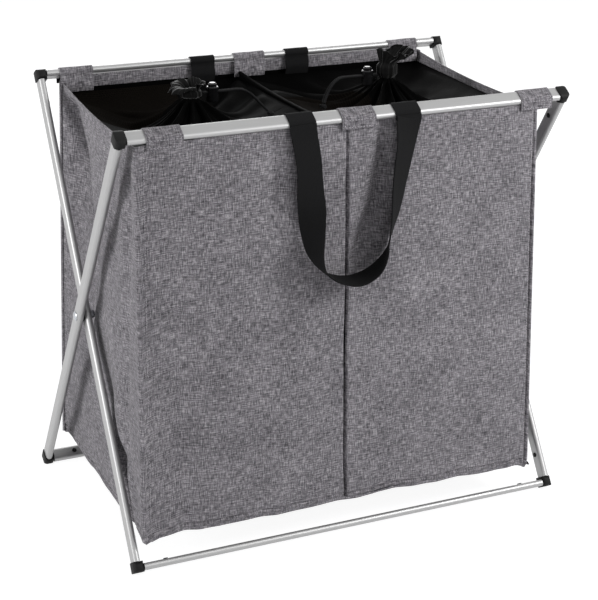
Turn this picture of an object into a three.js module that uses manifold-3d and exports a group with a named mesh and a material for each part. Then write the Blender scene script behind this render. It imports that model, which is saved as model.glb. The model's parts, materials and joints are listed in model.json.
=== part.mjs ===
// Folding laundry hamper with two bins: two crossed frames of flat oval tube carry a hanging bag.
// Millimetres. +Z is up, +X runs to the right along the rails and -Y is the front.
// The origin lies on the floor, below the middle of the hamper.
import * as THREE from 'three';
import { mergeVertices } from 'three/addons/utils/BufferGeometryUtils.js';
import Module from 'manifold-3d';

const wasm = await Module();
wasm.setup();

// Gap between pieces that touch, how far a cutting shape runs past what it cuts, and how near
// two vertices lie when they are one
const TOUCH_GAP = 0.3;
const OVERRUN = 6;
const WELD_DISTANCE = 0.0001;

// Frame: distances between tube axes, and how high the bottom rails lie above the floor
const RAIL_SPAN = 608;
const RAIL_DEPTH = 358;
const RAIL_HEIGHT = 563;
const RAIL_ABOVE_FLOOR = 8.2;

// Flat oval tube
const TUBE_WIDE = 20;
const TUBE_NARROW = 9;
const TUBE_WALL = 1;

// Corner connector
const CORNER_THICK = 14;
const CORNER_WIDE = 23;
const CORNER_ROUND = 6;
const CORNER_OUTSIDE = 6;
const PLUG_LENGTH = 42;
const NUB_FROM_CORNER = 40;
const NUB_RADIUS = 3;
const NUB_PROUD = 1.2;
const NUB_HOLE_RADIUS = 3.5;

// Pivot on each side: bolt, washer between the legs, and cap nut
const BOLT_RADIUS = 3;
const BOLT_HOLE_RADIUS = 3.4;
const BOLT_HEAD_RADIUS = 6.5;
const BOLT_HEAD_HEIGHT = 2.4;
const WASHER_RADIUS = 8;
const WASHER_THICK = 1;
const NUT_RADIUS = 5.5;
const NUT_HEIGHT = 5.5;
const NUT_WALL = 1.6;

// Bag: its sides lie inside the frame's span, its panels in front of the rails' axes
const BAG_INSIDE_SPAN = 22;
const PANEL_PAST_RAIL = 7;
const CLOTH_THICK = 3;
const RIM_BELOW_RAIL = 10;
const BAG_BOTTOM = 50;
const BASE_THICK = 3;
const SIDE_RIM_SAG = 7;
const DIVIDER_X = -12;
const DIVIDER_THICK = 2;
const DIVIDER_BELOW_RIM = 6;

// Tabs round the top rails
const TAB_WIDTH = 46;
const TAB_THICK = 1.5;
const TAB_HANG = 15;
const TAB_INSIDE_HANG = 24;
// The tabs' middles from left to right, as shares of half the bag's width
const FRONT_TAB_SHARES = [-0.894, -0.004, 0.904];
const REAR_TAB_SHARES = [-0.886, 0.014, 0.882];

// Carrying straps
const STRAP_WIDTH = 35;
const STRAP_THICK = 1.6;
const STRAP_LOOP_WIDTH = 185;
const STRAP_LOOP_MIDDLE = -5.5;
const STRAP_DROP = 207;
const STRAP_INSIDE_HANG = 60;
const STRAP_SPLIT_BELOW_RAIL = 5;
const STRAP_STEPS = 38;
// The loop's outer edge, from the left limb round to the right one. Across and drop are shares of
// the loop's width and drop. Proud is 0 against the panel and 1 at the rail's front, and turn
// counts quarter turns from flat against the panel.
const STRAP_ROUTE_SHARES = [
  { across: -0.485, drop: 0, proud: 1, turn: 0 },
  { across: -0.485, drop: 0.03, proud: 1, turn: 0 },
  { across: -0.481, drop: 0.08, proud: 0.92, turn: 0.01 },
  { across: -0.466, drop: 0.16, proud: 0.75, turn: 0.02 },
  { across: -0.42, drop: 0.35, proud: 0.4, turn: 0.03 },
  { across: -0.38, drop: 0.63, proud: 0.4, turn: 0.08 },
  { across: -0.345, drop: 0.78, proud: 0.4, turn: 0.25 },
  { across: -0.265, drop: 0.905, proud: 0.4, turn: 0.65 },
  { across: -0.185, drop: 0.96, proud: 0.4, turn: 0.92 },
  { across: -0.045, drop: 1, proud: 0.4, turn: 1.02 },
  { across: 0.1, drop: 0.97, proud: 0.4, turn: 1.02 },
  { across: 0.23, drop: 0.9, proud: 0.4, turn: 0.9 },
  { across: 0.29, drop: 0.8, proud: 0.4, turn: 0.74 },
  { across: 0.35, drop: 0.67, proud: 0.4, turn: 0.56 },
  { across: 0.4, drop: 0.5, proud: 0.4, turn: 0.42 },
  { across: 0.45, drop: 0.24, proud: 0.7, turn: 0.2 },
  { across: 0.472, drop: 0.13, proud: 0.85, turn: 0.08 },
  { across: 0.483, drop: 0.06, proud: 0.95, turn: 0.02 },
  { across: 0.485, drop: 0.025, proud: 1, turn: 0 },
  { across: 0.485, drop: 0, proud: 1, turn: 0 },
];

// Covers and their gathered necks
const COVER_THICK = 1.5;
const COVER_BELOW_RIM = 16;
const COVER_SAG = 16;
const NECK_ABOVE_RIM = 6;
const NECK_HOLE_RADIUS = 9;
const NECK_WALL = 5;
const CASING_HEIGHT = 10;
const RUFFLE_HEIGHT = 28;
const RUFFLE_RADIUS = 32;
const RUFFLE_WALL = 1.6;
// The necks' places, as shares of half the bag's width and depth, and the way each cord leaves
const NECK_PLACE_SHARES = [
  { side: 'left', x: -0.532, y: 0, way: 1 },
  { side: 'right', x: 0.496, y: 0.054, way: -1 },
];

// Drawstrings: two cords side by side leave each neck and end in a knot
const CORD_RADIUS = 1.5;
const CORD_SPACING = 3.6;
const CORD_ABOVE_NECK = 5;
const KNOT_RADIUS = 4.5;
// Route from the neck's side: straight through the lock's travel, then down on to the cover.
// Each point is a length along the way, a height above the lock's axis and a step forwards.
const CORD_ROUTE = [
  [0, 0, 0], [8, 0, 0], [16, 0, 0], [24, 0, 0], [32, 0, 0], [40, 0, 0], [48, 0, 0],
  [56, -1, 0], [64, -5, -1], [71, -11, -3], [77, -18, -6], [82, -24, -10], [86, -29, -15],
];
// How far apart the two cords lie at those points, as shares of their spacing in the lock
const CORD_SPREAD_SHARES = [1, 1, 1, 1, 1, 1, 1, 1, 1.05, 1.15, 1.3, 1.35, 1.25];

// Cord lock: a barrel with a sprung plunger, the cords passing through both
const LOCK_FROM_NECK = 14;
const LOCK_BARREL_RADIUS = 8;
const LOCK_BARREL_BELOW = 13;
const LOCK_BARREL_ABOVE = 7;
const LOCK_CHAMFER = 1;
const LOCK_WALL = 2;
const LOCK_FLOOR = 2;
const LOCK_PLUNGER_GAP = 0.3;
const LOCK_PLUNGER_TOP = 12;
const LOCK_PLUNGER_BELOW = 5;
const LOCK_TRAVEL = 3.5;
const LOCK_SPRING_WIRE = 0.3;
const LOCK_SPRING_TURNS = 3;

// How finely round shapes are divided
const TUBE_ROUND_STEPS = 3;
const CORNER_ROUND_STEPS = 2;
const RIM_STEPS = 8;
const WRAP_STEPS = 6;
const HOLE_SIDES = 16;
const NUB_SIDES = 14;
const TURNED_SIDES = 20;
const NECK_SIDES = 28;
const COVER_SIDES = 40;
const COVER_RINGS = 8;
const CORD_SIDES = 8;
const CORD_STEPS = 22;
const KNOT_SIDES = 12;
const SPRING_SIDES = 6;
const SPRING_TURN_STEPS = 8;

// Places that follow from the sizes above
const LEAN = Math.atan2(RAIL_DEPTH, RAIL_HEIGHT);
const HALF_LEG = Math.hypot(RAIL_DEPTH, RAIL_HEIGHT) / 2;
const PIVOT_Z = RAIL_ABOVE_FLOOR + RAIL_HEIGHT / 2;
const TOP_RAIL_Z = RAIL_ABOVE_FLOOR + RAIL_HEIGHT;
const LEG_PITCH = TUBE_NARROW + WASHER_THICK + 2 * TOUCH_GAP;
const OUTER_LEG_X = (RAIL_SPAN + LEG_PITCH) / 2;
const INNER_LEG_X = (RAIL_SPAN - LEG_PITCH) / 2;
const CORNER_INSIDE = CORNER_THICK - CORNER_OUTSIDE;
const TUBE_START = CORNER_INSIDE + TOUCH_GAP;
const RIM_Z = TOP_RAIL_Z - RIM_BELOW_RAIL;
const PANEL_FACE = RAIL_DEPTH / 2 + PANEL_PAST_RAIL;
const PANEL_BACK = PANEL_FACE - CLOTH_THICK;
const SIDE_FACE = RAIL_SPAN / 2 - BAG_INSIDE_SPAN;
const SIDE_BACK = SIDE_FACE - CLOTH_THICK;
const SEWN_INSIDE = PANEL_BACK - 2 * TOUCH_GAP - Math.max(TAB_THICK, STRAP_THICK);
const COVER_Z = RIM_Z - COVER_BELOW_RIM;
const NECK_Z = RIM_Z + NECK_ABOVE_RIM;

const ANODISED = { color: 0xc9cbcc, roughness: 0.35, metalness: 1 };
const BLACK_PLASTIC = { color: 0x1b1c1d, roughness: 0.5, metalness: 0 };
const GLOSS_PLASTIC = { color: 0x0c0c0d, roughness: 0.15, metalness: 0 };
const STEEL = { color: 0xa9abad, roughness: 0.3, metalness: 1 };
const GREY_CLOTH = { color: 0x77747a, roughness: 0.95, metalness: 0 };
const BLACK_CLOTH = { color: 0x151516, roughness: 0.9, metalness: 0 };
const WEBBING = { color: 0x1c1d1e, roughness: 0.85, metalness: 0 };
const CORD_CLOTH = { color: 0x101011, roughness: 0.8, metalness: 0 };

const hamper = new THREE.Group();

function addPiece(parent, name, geometry, finish) {
  const mesh = new THREE.Mesh(geometry, new THREE.MeshStandardMaterial(finish));
  mesh.name = name;
  parent.add(mesh);
  return mesh;
}

// Solids: joined and cut as closed bodies, from geometry with shared vertices

function solidOf(geometry) {
  const bare = geometry.index ? geometry.toNonIndexed() : geometry.clone();
  bare.deleteAttribute('normal');
  bare.deleteAttribute('uv');
  const merged = mergeVertices(bare, WELD_DISTANCE);
  const mesh = new wasm.Mesh({
    numProp: 3,
    vertProperties: new Float32Array(merged.attributes.position.array),
    triVerts: new Uint32Array(merged.index.array),
  });
  return new wasm.Manifold(mesh);
}

function geometryOf(solid) {
  const mesh = solid.getMesh();
  const geometry = new THREE.BufferGeometry();
  geometry.setAttribute('position', new THREE.BufferAttribute(mesh.vertProperties, 3));
  geometry.setIndex(new THREE.BufferAttribute(mesh.triVerts, 1));
  geometry.computeVertexNormals();
  return geometry;
}

function join(...geometries) {
  return geometryOf(geometries.map(solidOf).reduce((all, next) => all.add(next)));
}

function cut(geometry, ...cutters) {
  const whole = solidOf(geometry);
  return geometryOf(cutters.map(solidOf).reduce((left, next) => left.subtract(next), whole));
}

// Outlines

function roundedOutline(narrow, wide, radius) {
  const x = narrow / 2 - radius;
  const y = wide / 2 - radius;
  const outline = new THREE.Shape();
  outline.absarc(x, y, radius, 0, Math.PI / 2);
  outline.absarc(-x, y, radius, Math.PI / 2, Math.PI);
  outline.absarc(-x, -y, radius, Math.PI, 1.5 * Math.PI);
  outline.absarc(x, -y, radius, 1.5 * Math.PI, 2 * Math.PI);
  return outline;
}

function ovalOutline(narrow, wide) {
  return roundedOutline(narrow, wide, narrow / 2);
}

// A bar along Z from one height to another, narrow in X and wide in Y
function bar(outline, from, to, curveSegments) {
  const geometry = new THREE.ExtrudeGeometry(outline, {
    depth: to - from,
    bevelEnabled: false,
    curveSegments,
  });
  return geometry.translate(0, 0, from);
}

// Turns a bar so that it runs along X; its narrow way then lies along Z
function alongX(geometry) {
  return geometry.rotateY(Math.PI / 2);
}

// A plate whose outline is drawn in Y and Z, from one X to another
function plateAcross(outline, fromX, toX) {
  const geometry = bar(outline, fromX, toX, RIM_STEPS);
  const axes = new THREE.Matrix4().makeBasis(
    new THREE.Vector3(0, 1, 0),
    new THREE.Vector3(0, 0, 1),
    new THREE.Vector3(1, 0, 0),
  );
  return geometry.applyMatrix4(axes);
}

function block(size, middle) {
  return new THREE.BoxGeometry(size.x, size.y, size.z).translate(middle.x, middle.y, middle.z);
}

// A block given by its lowest and highest corners
function blockBetween(low, high) {
  const box = new THREE.Box3(new THREE.Vector3(...low), new THREE.Vector3(...high));
  return block(box.getSize(new THREE.Vector3()), box.getCenter(new THREE.Vector3()));
}

// Frame loops. Inside a loop X runs along the rails, Z along the legs and Y square to both.

const TUBE_OUTLINE = ovalOutline(TUBE_NARROW, TUBE_WIDE);
const TUBE_INSIDE = ovalOutline(TUBE_NARROW - 2 * TUBE_WALL, TUBE_WIDE - 2 * TUBE_WALL);

function tubeOutline() {
  const outline = TUBE_OUTLINE.clone();
  outline.holes.push(TUBE_INSIDE);
  return outline;
}

// A hole through the flat wall that faces +X (side 1) or -X (side -1), or through both (side 0)
function wallHole(radius, z, side) {
  const reach = TUBE_NARROW / 2 + OVERRUN;
  const length = side === 0 ? 2 * reach : reach;
  const hole = new THREE.CylinderGeometry(radius, radius, length, HOLE_SIDES);
  return hole.rotateZ(Math.PI / 2).translate((side * length) / 2, 0, z);
}

// A tube that ends short of two corners, with a nub hole near each on the wall facing inwards
function frameTube(halfSpan, inwards, middleHoleRadius) {
  const end = halfSpan - TUBE_START;
  const nub = halfSpan - NUB_FROM_CORNER;
  const holes = [-nub, nub].map((z) => wallHole(NUB_HOLE_RADIUS, z, inwards));
  if (middleHoleRadius) {
    holes.push(wallHole(middleHoleRadius, 0, 0));
  }
  return cut(bar(tubeOutline(), -end, end, TUBE_ROUND_STEPS), ...holes);
}

// One arm of a corner connector, along +Z from the corner, with its snap nub facing +X or -X
function plugArm(nubSide) {
  const narrow = TUBE_NARROW - 2 * TUBE_WALL - 2 * TOUCH_GAP;
  const wide = TUBE_WIDE - 2 * TUBE_WALL - 2 * TOUCH_GAP;
  const arm = bar(ovalOutline(narrow, wide), 0, CORNER_INSIDE + PLUG_LENGTH, CORNER_ROUND_STEPS);
  const reach = TUBE_NARROW / 2 + NUB_PROUD;
  const nub = new THREE.CylinderGeometry(NUB_RADIUS, NUB_RADIUS, reach, NUB_SIDES);
  nub.rotateZ(Math.PI / 2).translate((nubSide * reach) / 2, 0, NUB_FROM_CORNER);
  return join(arm, nub);
}

// The cover of the corner: rounded where the rail's edges and where the leg's edges run into it
function cornerBlock(outX, outZ) {
  const middle = (CORNER_OUTSIDE - CORNER_INSIDE) / 2;
  const outline = roundedOutline(CORNER_THICK, CORNER_WIDE, CORNER_ROUND);
  const half = CORNER_THICK / 2;
  const slice = () => bar(outline, -half, half, CORNER_ROUND_STEPS);
  const round = solidOf(alongX(slice())).intersect(solidOf(slice()));
  return geometryOf(round).translate(outX * middle, 0, outZ * middle);
}

function cornerConnector(outX, outZ) {
  const railArm = plugArm(-outX * outZ).rotateY((-outX * Math.PI) / 2);
  const legArm = plugArm(outX * outZ).rotateY(outZ > 0 ? Math.PI : 0);
  return join(cornerBlock(outX, outZ), railArm, legArm);
}

// Everything below the floor, in the frame of a leaning loop's corner
function belowFloor(cornerX, cornerZ) {
  const reach = 2 * CORNER_WIDE;
  const slab = blockBetween([-reach, -reach, -reach], [reach, reach, 0]);
  slab.translate(0, -cornerZ * Math.sin(LEAN), -PIVOT_Z);
  slab.applyMatrix4(new THREE.Matrix4().makeRotationX(-LEAN));
  return slab.translate(cornerX, 0, 0);
}

function addFrameLoop(parent, names) {
  const loop = new THREE.Group();
  loop.position.z = PIVOT_Z;
  loop.rotation.x = LEAN;
  parent.add(loop);

  const railHalf = RAIL_SPAN / 2;
  const railMiddle = (INNER_LEG_X - OUTER_LEG_X) / 2;
  const rail = (inwards) => alongX(frameTube(railHalf, inwards, 0)).translate(railMiddle, 0, 0);
  addPiece(loop, names.topRail, rail(1), ANODISED).position.z = HALF_LEG;
  addPiece(loop, names.bottomRail, rail(-1), ANODISED).position.z = -HALF_LEG;
  const leg = (inwards) => frameTube(HALF_LEG, inwards, BOLT_HOLE_RADIUS);
  addPiece(loop, names.outerLeg, leg(1), ANODISED).position.x = -OUTER_LEG_X;
  addPiece(loop, names.innerLeg, leg(-1), ANODISED).position.x = INNER_LEG_X;

  for (const [outX, cornerX, legName] of [[-1, -OUTER_LEG_X, 'outer'], [1, INNER_LEG_X, 'inner']]) {
    for (const [outZ, endName] of [[1, 'top'], [-1, 'bottom']]) {
      let geometry = cornerConnector(outX, outZ).translate(cornerX, 0, outZ * HALF_LEG);
      if (outZ < 0) {
        geometry = cut(geometry, belowFloor(cornerX, -HALF_LEG));
      }
      addPiece(loop, names.corners[legName][endName], geometry, BLACK_PLASTIC);
    }
  }
}

// Pivot of the left side: the bolt's head lies outside the outer leg, the nut inside the inner leg

// A turned piece round Y, from its profile of radius and height
function turned(points, sides = TURNED_SIDES) {
  return new THREE.LatheGeometry(points.map(([r, y]) => new THREE.Vector2(r, y)), sides);
}

// Turned pieces are laid along X, their +Y pointing inwards from the left side
function addPivot(parent, side) {
  const pivot = new THREE.Group();
  pivot.position.z = PIVOT_Z;
  parent.add(pivot);
  const lay = (geometry, x) => geometry.rotateZ(-Math.PI / 2).translate(x, 0, 0);

  const outerFace = -OUTER_LEG_X - TUBE_NARROW / 2 - TOUCH_GAP;
  const innerFace = -INNER_LEG_X + TUBE_NARROW / 2 + TOUCH_GAP;
  const shankEnd = innerFace + NUT_HEIGHT - NUT_WALL - TOUCH_GAP - outerFace;
  const dome = BOLT_HEAD_HEIGHT / 2;
  const bolt = turned([
    [0, -BOLT_HEAD_HEIGHT], [BOLT_HEAD_RADIUS - dome, -BOLT_HEAD_HEIGHT], [BOLT_HEAD_RADIUS, -dome],
    [BOLT_HEAD_RADIUS, 0], [BOLT_RADIUS, 0], [BOLT_RADIUS, shankEnd], [0, shankEnd],
  ]);
  addPiece(pivot, `pivot_bolt_${side}`, lay(bolt, outerFace), STEEL);

  const bore = BOLT_RADIUS + TOUCH_GAP;
  const washer = turned([
    [bore, 0], [WASHER_RADIUS, 0], [WASHER_RADIUS, WASHER_THICK], [bore, WASHER_THICK], [bore, 0],
  ]);
  const washerFace = (-RAIL_SPAN - WASHER_THICK) / 2;
  addPiece(pivot, `pivot_washer_${side}`, lay(washer, washerFace), BLACK_PLASTIC);

  const boreEnd = NUT_HEIGHT - NUT_WALL;
  const nut = turned([
    [bore, 0], [NUT_RADIUS, 0], [NUT_RADIUS, boreEnd], [NUT_RADIUS - NUT_WALL, NUT_HEIGHT],
    [0, NUT_HEIGHT], [0, boreEnd], [bore, boreEnd], [bore, 0],
  ]);
  addPiece(pivot, `pivot_nut_${side}`, lay(nut, innerFace), STEEL);
}

// Bag panels

function addBag(parent) {
  const endX = SIDE_BACK - TOUCH_GAP;
  const low = BAG_BOTTOM + BASE_THICK + TOUCH_GAP;
  const panel = blockBetween([-endX, -PANEL_FACE, low], [endX, -PANEL_BACK, RIM_Z]);
  addPiece(parent, 'front_panel', panel, GREY_CLOTH);
  addPiece(parent, 'back_panel', panel.clone().rotateZ(Math.PI), GREY_CLOTH);

  const side = new THREE.Shape();
  side.moveTo(-PANEL_FACE, low);
  side.lineTo(PANEL_FACE, low);
  side.lineTo(PANEL_FACE, RIM_Z);
  side.quadraticCurveTo(0, RIM_Z - 2 * SIDE_RIM_SAG, -PANEL_FACE, RIM_Z);
  addPiece(parent, 'left_side_panel', plateAcross(side, -SIDE_FACE, -SIDE_BACK), GREY_CLOTH);
  addPiece(parent, 'right_side_panel', plateAcross(side, SIDE_BACK, SIDE_FACE), GREY_CLOTH);

  const base = blockBetween(
    [-SIDE_FACE, -PANEL_FACE, BAG_BOTTOM],
    [SIDE_FACE, PANEL_FACE, BAG_BOTTOM + BASE_THICK],
  );
  addPiece(parent, 'base_panel', base, GREY_CLOTH);

  const endY = SEWN_INSIDE;
  const top = RIM_Z - DIVIDER_BELOW_RIM;
  const divider = new THREE.Shape();
  divider.moveTo(-endY, low);
  divider.lineTo(endY, low);
  divider.lineTo(endY, top);
  divider.quadraticCurveTo(0, top - 2 * SIDE_RIM_SAG, -endY, top);
  const plate = plateAcross(divider, -DIVIDER_THICK / 2, DIVIDER_THICK / 2);
  addPiece(parent, 'centre_divider', plate, BLACK_CLOTH).position.x = DIVIDER_X;
}

// Cloth that wraps over the front top rail, drawn in Y and Z and given its thickness

const RAIL_STRAIGHT = (TUBE_WIDE - TUBE_NARROW) / 2;

// Distance from the middle of a tube's round edge to the middle of cloth wrapped round it
function wrapRadius(thick) {
  return TUBE_NARROW / 2 + TOUCH_GAP + thick / 2;
}

function panelSideY(thick) {
  return -PANEL_FACE - TOUCH_GAP - thick / 2;
}

function railSideY(thick) {
  return -RAIL_DEPTH / 2 - RAIL_STRAIGHT * Math.cos(LEAN) - wrapRadius(thick);
}

// The path's points, from a place in front of the panel over the rail to the panel's inner side
function pathOverRail(thick, frontY, frontHang, insideHang) {
  const away = wrapRadius(thick);
  const across = new THREE.Vector2(-Math.cos(LEAN), -Math.sin(LEAN)).multiplyScalar(RAIL_STRAIGHT);
  const rail = new THREE.Vector2(-RAIL_DEPTH / 2, TOP_RAIL_Z);
  const frontEnd = rail.clone().add(across);
  const rearEnd = rail.clone().sub(across);
  const arc = (centre, from, to) => {
    const curve = new THREE.EllipseCurve(centre.x, centre.y, away, away, from, to, true);
    return curve.getPoints(WRAP_STEPS);
  };
  const points = [new THREE.Vector2(frontY, TOP_RAIL_Z - frontHang)];
  points.push(...arc(frontEnd, Math.PI, Math.PI / 2 + LEAN));
  points.push(...arc(rearEnd, Math.PI / 2 + LEAN, -LEAN));
  const inside = -PANEL_BACK + TOUCH_GAP + thick / 2;
  points.push(new THREE.Vector2(inside, RIM_Z - RIM_BELOW_RAIL / 2));
  points.push(new THREE.Vector2(inside, TOP_RAIL_Z - insideHang));
  return points;
}

function thickened(points, thick) {
  const side = (sign) => points.map((point, i) => {
    const before = points[Math.max(i - 1, 0)];
    const after = points[Math.min(i + 1, points.length - 1)];
    const way = after.clone().sub(before).normalize();
    return new THREE.Vector2(-way.y, way.x).multiplyScalar((sign * thick) / 2).add(point);
  });
  return new THREE.Shape([...side(1), ...side(-1).reverse()]);
}

function wrapPiece(thick, frontY, frontHang, insideHang, fromX, toX) {
  const path = pathOverRail(thick, frontY, frontHang, insideHang);
  return plateAcross(thickened(path, thick), fromX, toX);
}

// Three tabs over one top rail; the rear ones are made in front and turned half round
function addTabs(parent, side, shares, turn) {
  const names = ['left', 'middle', 'right'];
  shares.forEach((share, i) => {
    const from = Math.cos(turn) * share * SIDE_FACE - TAB_WIDTH / 2;
    const frontY = panelSideY(TAB_THICK);
    const tab = wrapPiece(TAB_THICK, frontY, TAB_HANG, TAB_INSIDE_HANG, from, from + TAB_WIDTH);
    addPiece(parent, `${side}_tab_${names[i]}`, tab.rotateZ(turn), GREY_CLOTH);
  });
}

// Cross-sections of the strap's loop along its route

function strapSections() {
  const start = TOP_RAIL_Z - STRAP_SPLIT_BELOW_RAIL - TOUCH_GAP;
  const edges = STRAP_ROUTE_SHARES.map((at) => new THREE.Vector3(
    STRAP_LOOP_MIDDLE + at.across * STRAP_LOOP_WIDTH,
    THREE.MathUtils.lerp(panelSideY(STRAP_THICK), railSideY(STRAP_THICK), at.proud),
    start - at.drop * STRAP_DROP,
  ));
  const turns = STRAP_ROUTE_SHARES.map((at) => new THREE.Vector3(at.turn, 0, 0));
  const route = new THREE.CatmullRomCurve3(edges);
  const turning = new THREE.CatmullRomCurve3(turns);
  const sections = [];
  for (let i = 0; i <= STRAP_STEPS; i += 1) {
    const t = i / STRAP_STEPS;
    const edge = route.getPoint(t);
    const tangent = route.getTangent(t);
    const inPlane = new THREE.Vector3(-tangent.z, 0, tangent.x).normalize();
    const angle = (turning.getPoint(t).x * Math.PI) / 2;
    const out = new THREE.Vector3(0, -1, 0);
    const across = inPlane.multiplyScalar(Math.cos(angle)).addScaledVector(out, Math.sin(angle));
    const through = new THREE.Vector3().crossVectors(tangent, across).normalize();
    sections.push(flatSection(edge, across, through, STRAP_WIDTH, STRAP_THICK));
  }
  return sections;
}

// Four corners of a flat strap's cross-section that starts at an edge
function flatSection(edge, across, through, width, thick) {
  const half = thick / 2;
  const corner = (w, t) => edge.clone().addScaledVector(across, w).addScaledVector(through, t);
  return [corner(0, -half), corner(width, -half), corner(width, half), corner(0, half)];
}

// A closed body through cross-sections that all have the same number of corners
function loft(sections) {
  const count = sections[0].length;
  const positions = sections.flat().flatMap((point) => point.toArray());
  const index = [];
  for (let i = 0; i < sections.length - 1; i += 1) {
    for (let k = 0; k < count; k += 1) {
      const a = i * count + k;
      const b = i * count + ((k + 1) % count);
      index.push(a, b, a + count, b, b + count, a + count);
    }
  }
  const last = (sections.length - 1) * count;
  for (let k = 1; k < count - 1; k += 1) {
    index.push(0, k + 1, k);
    index.push(last, last + k, last + k + 1);
  }
  return facingOut(positions, index);
}

// Turns a closed body's faces round if they point inwards
function facingOut(positions, index) {
  const at = (i) => new THREE.Vector3().fromArray(positions, 3 * i);
  let volume = 0;
  for (let i = 0; i < index.length; i += 3) {
    volume += at(index[i]).dot(at(index[i + 1]).cross(at(index[i + 2])));
  }
  if (volume < 0) {
    index.reverse();
  }
  const geometry = new THREE.BufferGeometry();
  geometry.setAttribute('position', new THREE.Float32BufferAttribute(positions, 3));
  geometry.setIndex(index);
  geometry.computeVertexNormals();
  return geometry;
}

// A strap's two sewn ends, inside the panel and over the rail, and its loop
function addStrap(parent, side, turn, limbs) {
  const first = STRAP_LOOP_MIDDLE + STRAP_ROUTE_SHARES[0].across * STRAP_LOOP_WIDTH;
  const last = STRAP_LOOP_MIDDLE + STRAP_ROUTE_SHARES.at(-1).across * STRAP_LOOP_WIDTH;
  [first, last - STRAP_WIDTH].forEach((x, i) => {
    const frontY = railSideY(STRAP_THICK);
    const hang = STRAP_SPLIT_BELOW_RAIL;
    const end = wrapPiece(STRAP_THICK, frontY, hang, STRAP_INSIDE_HANG, x, x + STRAP_WIDTH);
    addPiece(parent, `${side}_strap_end_${limbs[i]}`, end.rotateZ(turn), WEBBING);
  });
  addPiece(parent, `${side}_strap_loop`, loft(strapSections()).rotateZ(turn), WEBBING);
}

// Bin covers: each runs from a bin's walls up to a gathered neck with a ruffle

// The lowest and highest X inside a bin; the left bin's cord leaves towards +X
function binWalls(neck) {
  const side = SIDE_BACK - TOUCH_GAP;
  const half = DIVIDER_THICK / 2 + TOUCH_GAP;
  return neck.way > 0 ? [-side, DIVIDER_X - half] : [DIVIDER_X + half, side];
}

// A point of a rectangle's edge in the direction of an angle that isn't along X or Y
function rectanglePoint(halfX, halfY, angle) {
  const x = Math.cos(angle);
  const y = Math.sin(angle);
  const reach = Math.min(halfX / Math.abs(x), halfY / Math.abs(y));
  return [x * reach, y * reach];
}

// Height of a cover, from 0 at the bin's walls to 1 at the neck: a sag, then a steep rise
function coverHeight(s) {
  const rise = s ** 5 * (NECK_Z - COVER_Z);
  return COVER_Z - COVER_SAG * Math.sin(Math.PI * s) + rise;
}

function coverGeometry(neck) {
  const [lowX, highX] = binWalls(neck);
  const halfX = (highX - lowX) / 2;
  const halfY = SEWN_INSIDE;
  const middleX = (lowX + highX) / 2;
  const loops = [];
  const ringAt = (s, drop) => {
    const ring = [];
    for (let k = 0; k < COVER_SIDES; k += 1) {
      const angle = ((k + 0.5) * 2 * Math.PI) / COVER_SIDES;
      const [wallX, wallY] = rectanglePoint(halfX, halfY, angle);
      const roundX = neck.x + Math.cos(angle) * NECK_HOLE_RADIUS;
      const roundY = neck.y + Math.sin(angle) * NECK_HOLE_RADIUS;
      ring.push(new THREE.Vector3(
        THREE.MathUtils.lerp(middleX + wallX, roundX, s),
        THREE.MathUtils.lerp(wallY, roundY, s),
        coverHeight(s) - drop,
      ));
    }
    return ring;
  };
  for (let i = 0; i <= COVER_RINGS; i += 1) {
    loops.push(ringAt(i / COVER_RINGS, 0));
  }
  for (let i = COVER_RINGS; i >= 0; i -= 1) {
    loops.push(ringAt(i / COVER_RINGS, COVER_THICK));
  }
  return closedLoops(loops);
}

// A closed body through rings that follow each other round and come back to the first
function closedLoops(loops) {
  const count = loops[0].length;
  const positions = loops.flat().flatMap((point) => point.toArray());
  const index = [];
  for (let i = 0; i < loops.length; i += 1) {
    const next = (i + 1) % loops.length;
    for (let k = 0; k < count; k += 1) {
      const a = i * count + k;
      const b = i * count + ((k + 1) % count);
      const c = next * count + k;
      const d = next * count + ((k + 1) % count);
      index.push(a, b, c, b, d, c);
    }
  }
  return facingOut(positions, index);
}

// The gathered channel with the drawstring's hole in it, and the ruffle above
function neckGeometry(neck) {
  const low = NECK_Z + TOUCH_GAP;
  const waist = NECK_HOLE_RADIUS + NECK_WALL;
  const top = low + CASING_HEIGHT + RUFFLE_HEIGHT;
  const flare = RUFFLE_RADIUS - RUFFLE_WALL;
  const middle = low + CASING_HEIGHT + RUFFLE_HEIGHT / 3;
  const middleRadius = (waist + RUFFLE_RADIUS) / 2;
  const profile = turned([
    [NECK_HOLE_RADIUS, low], [waist, low], [waist + RUFFLE_WALL, low + CASING_HEIGHT / 2],
    [waist, low + CASING_HEIGHT], [middleRadius, middle], [RUFFLE_RADIUS, top],
    [flare, top], [middleRadius - RUFFLE_WALL, middle + RUFFLE_WALL],
    [NECK_HOLE_RADIUS, low + CASING_HEIGHT], [NECK_HOLE_RADIUS, low],
  ], NECK_SIDES);
  return profile.rotateX(Math.PI / 2).translate(neck.x, neck.y, 0);
}

function cordPoints(neck, sideStep) {
  const startX = neck.x + neck.way * (NECK_HOLE_RADIUS + NECK_WALL + RUFFLE_WALL + TOUCH_GAP);
  const z = NECK_Z + CORD_ABOVE_NECK;
  return CORD_ROUTE.map(([along, up, forwards], i) => new THREE.Vector3(
    startX + neck.way * along,
    neck.y + forwards + sideStep * CORD_SPREAD_SHARES[i],
    z + up,
  ));
}

function cordGeometry(points) {
  const outline = new THREE.Shape();
  outline.absarc(0, 0, CORD_RADIUS, 0, 2 * Math.PI);
  return new THREE.ExtrudeGeometry(outline, {
    steps: CORD_STEPS,
    curveSegments: CORD_SIDES / 2,
    extrudePath: new THREE.CatmullRomCurve3(points),
  });
}

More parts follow.
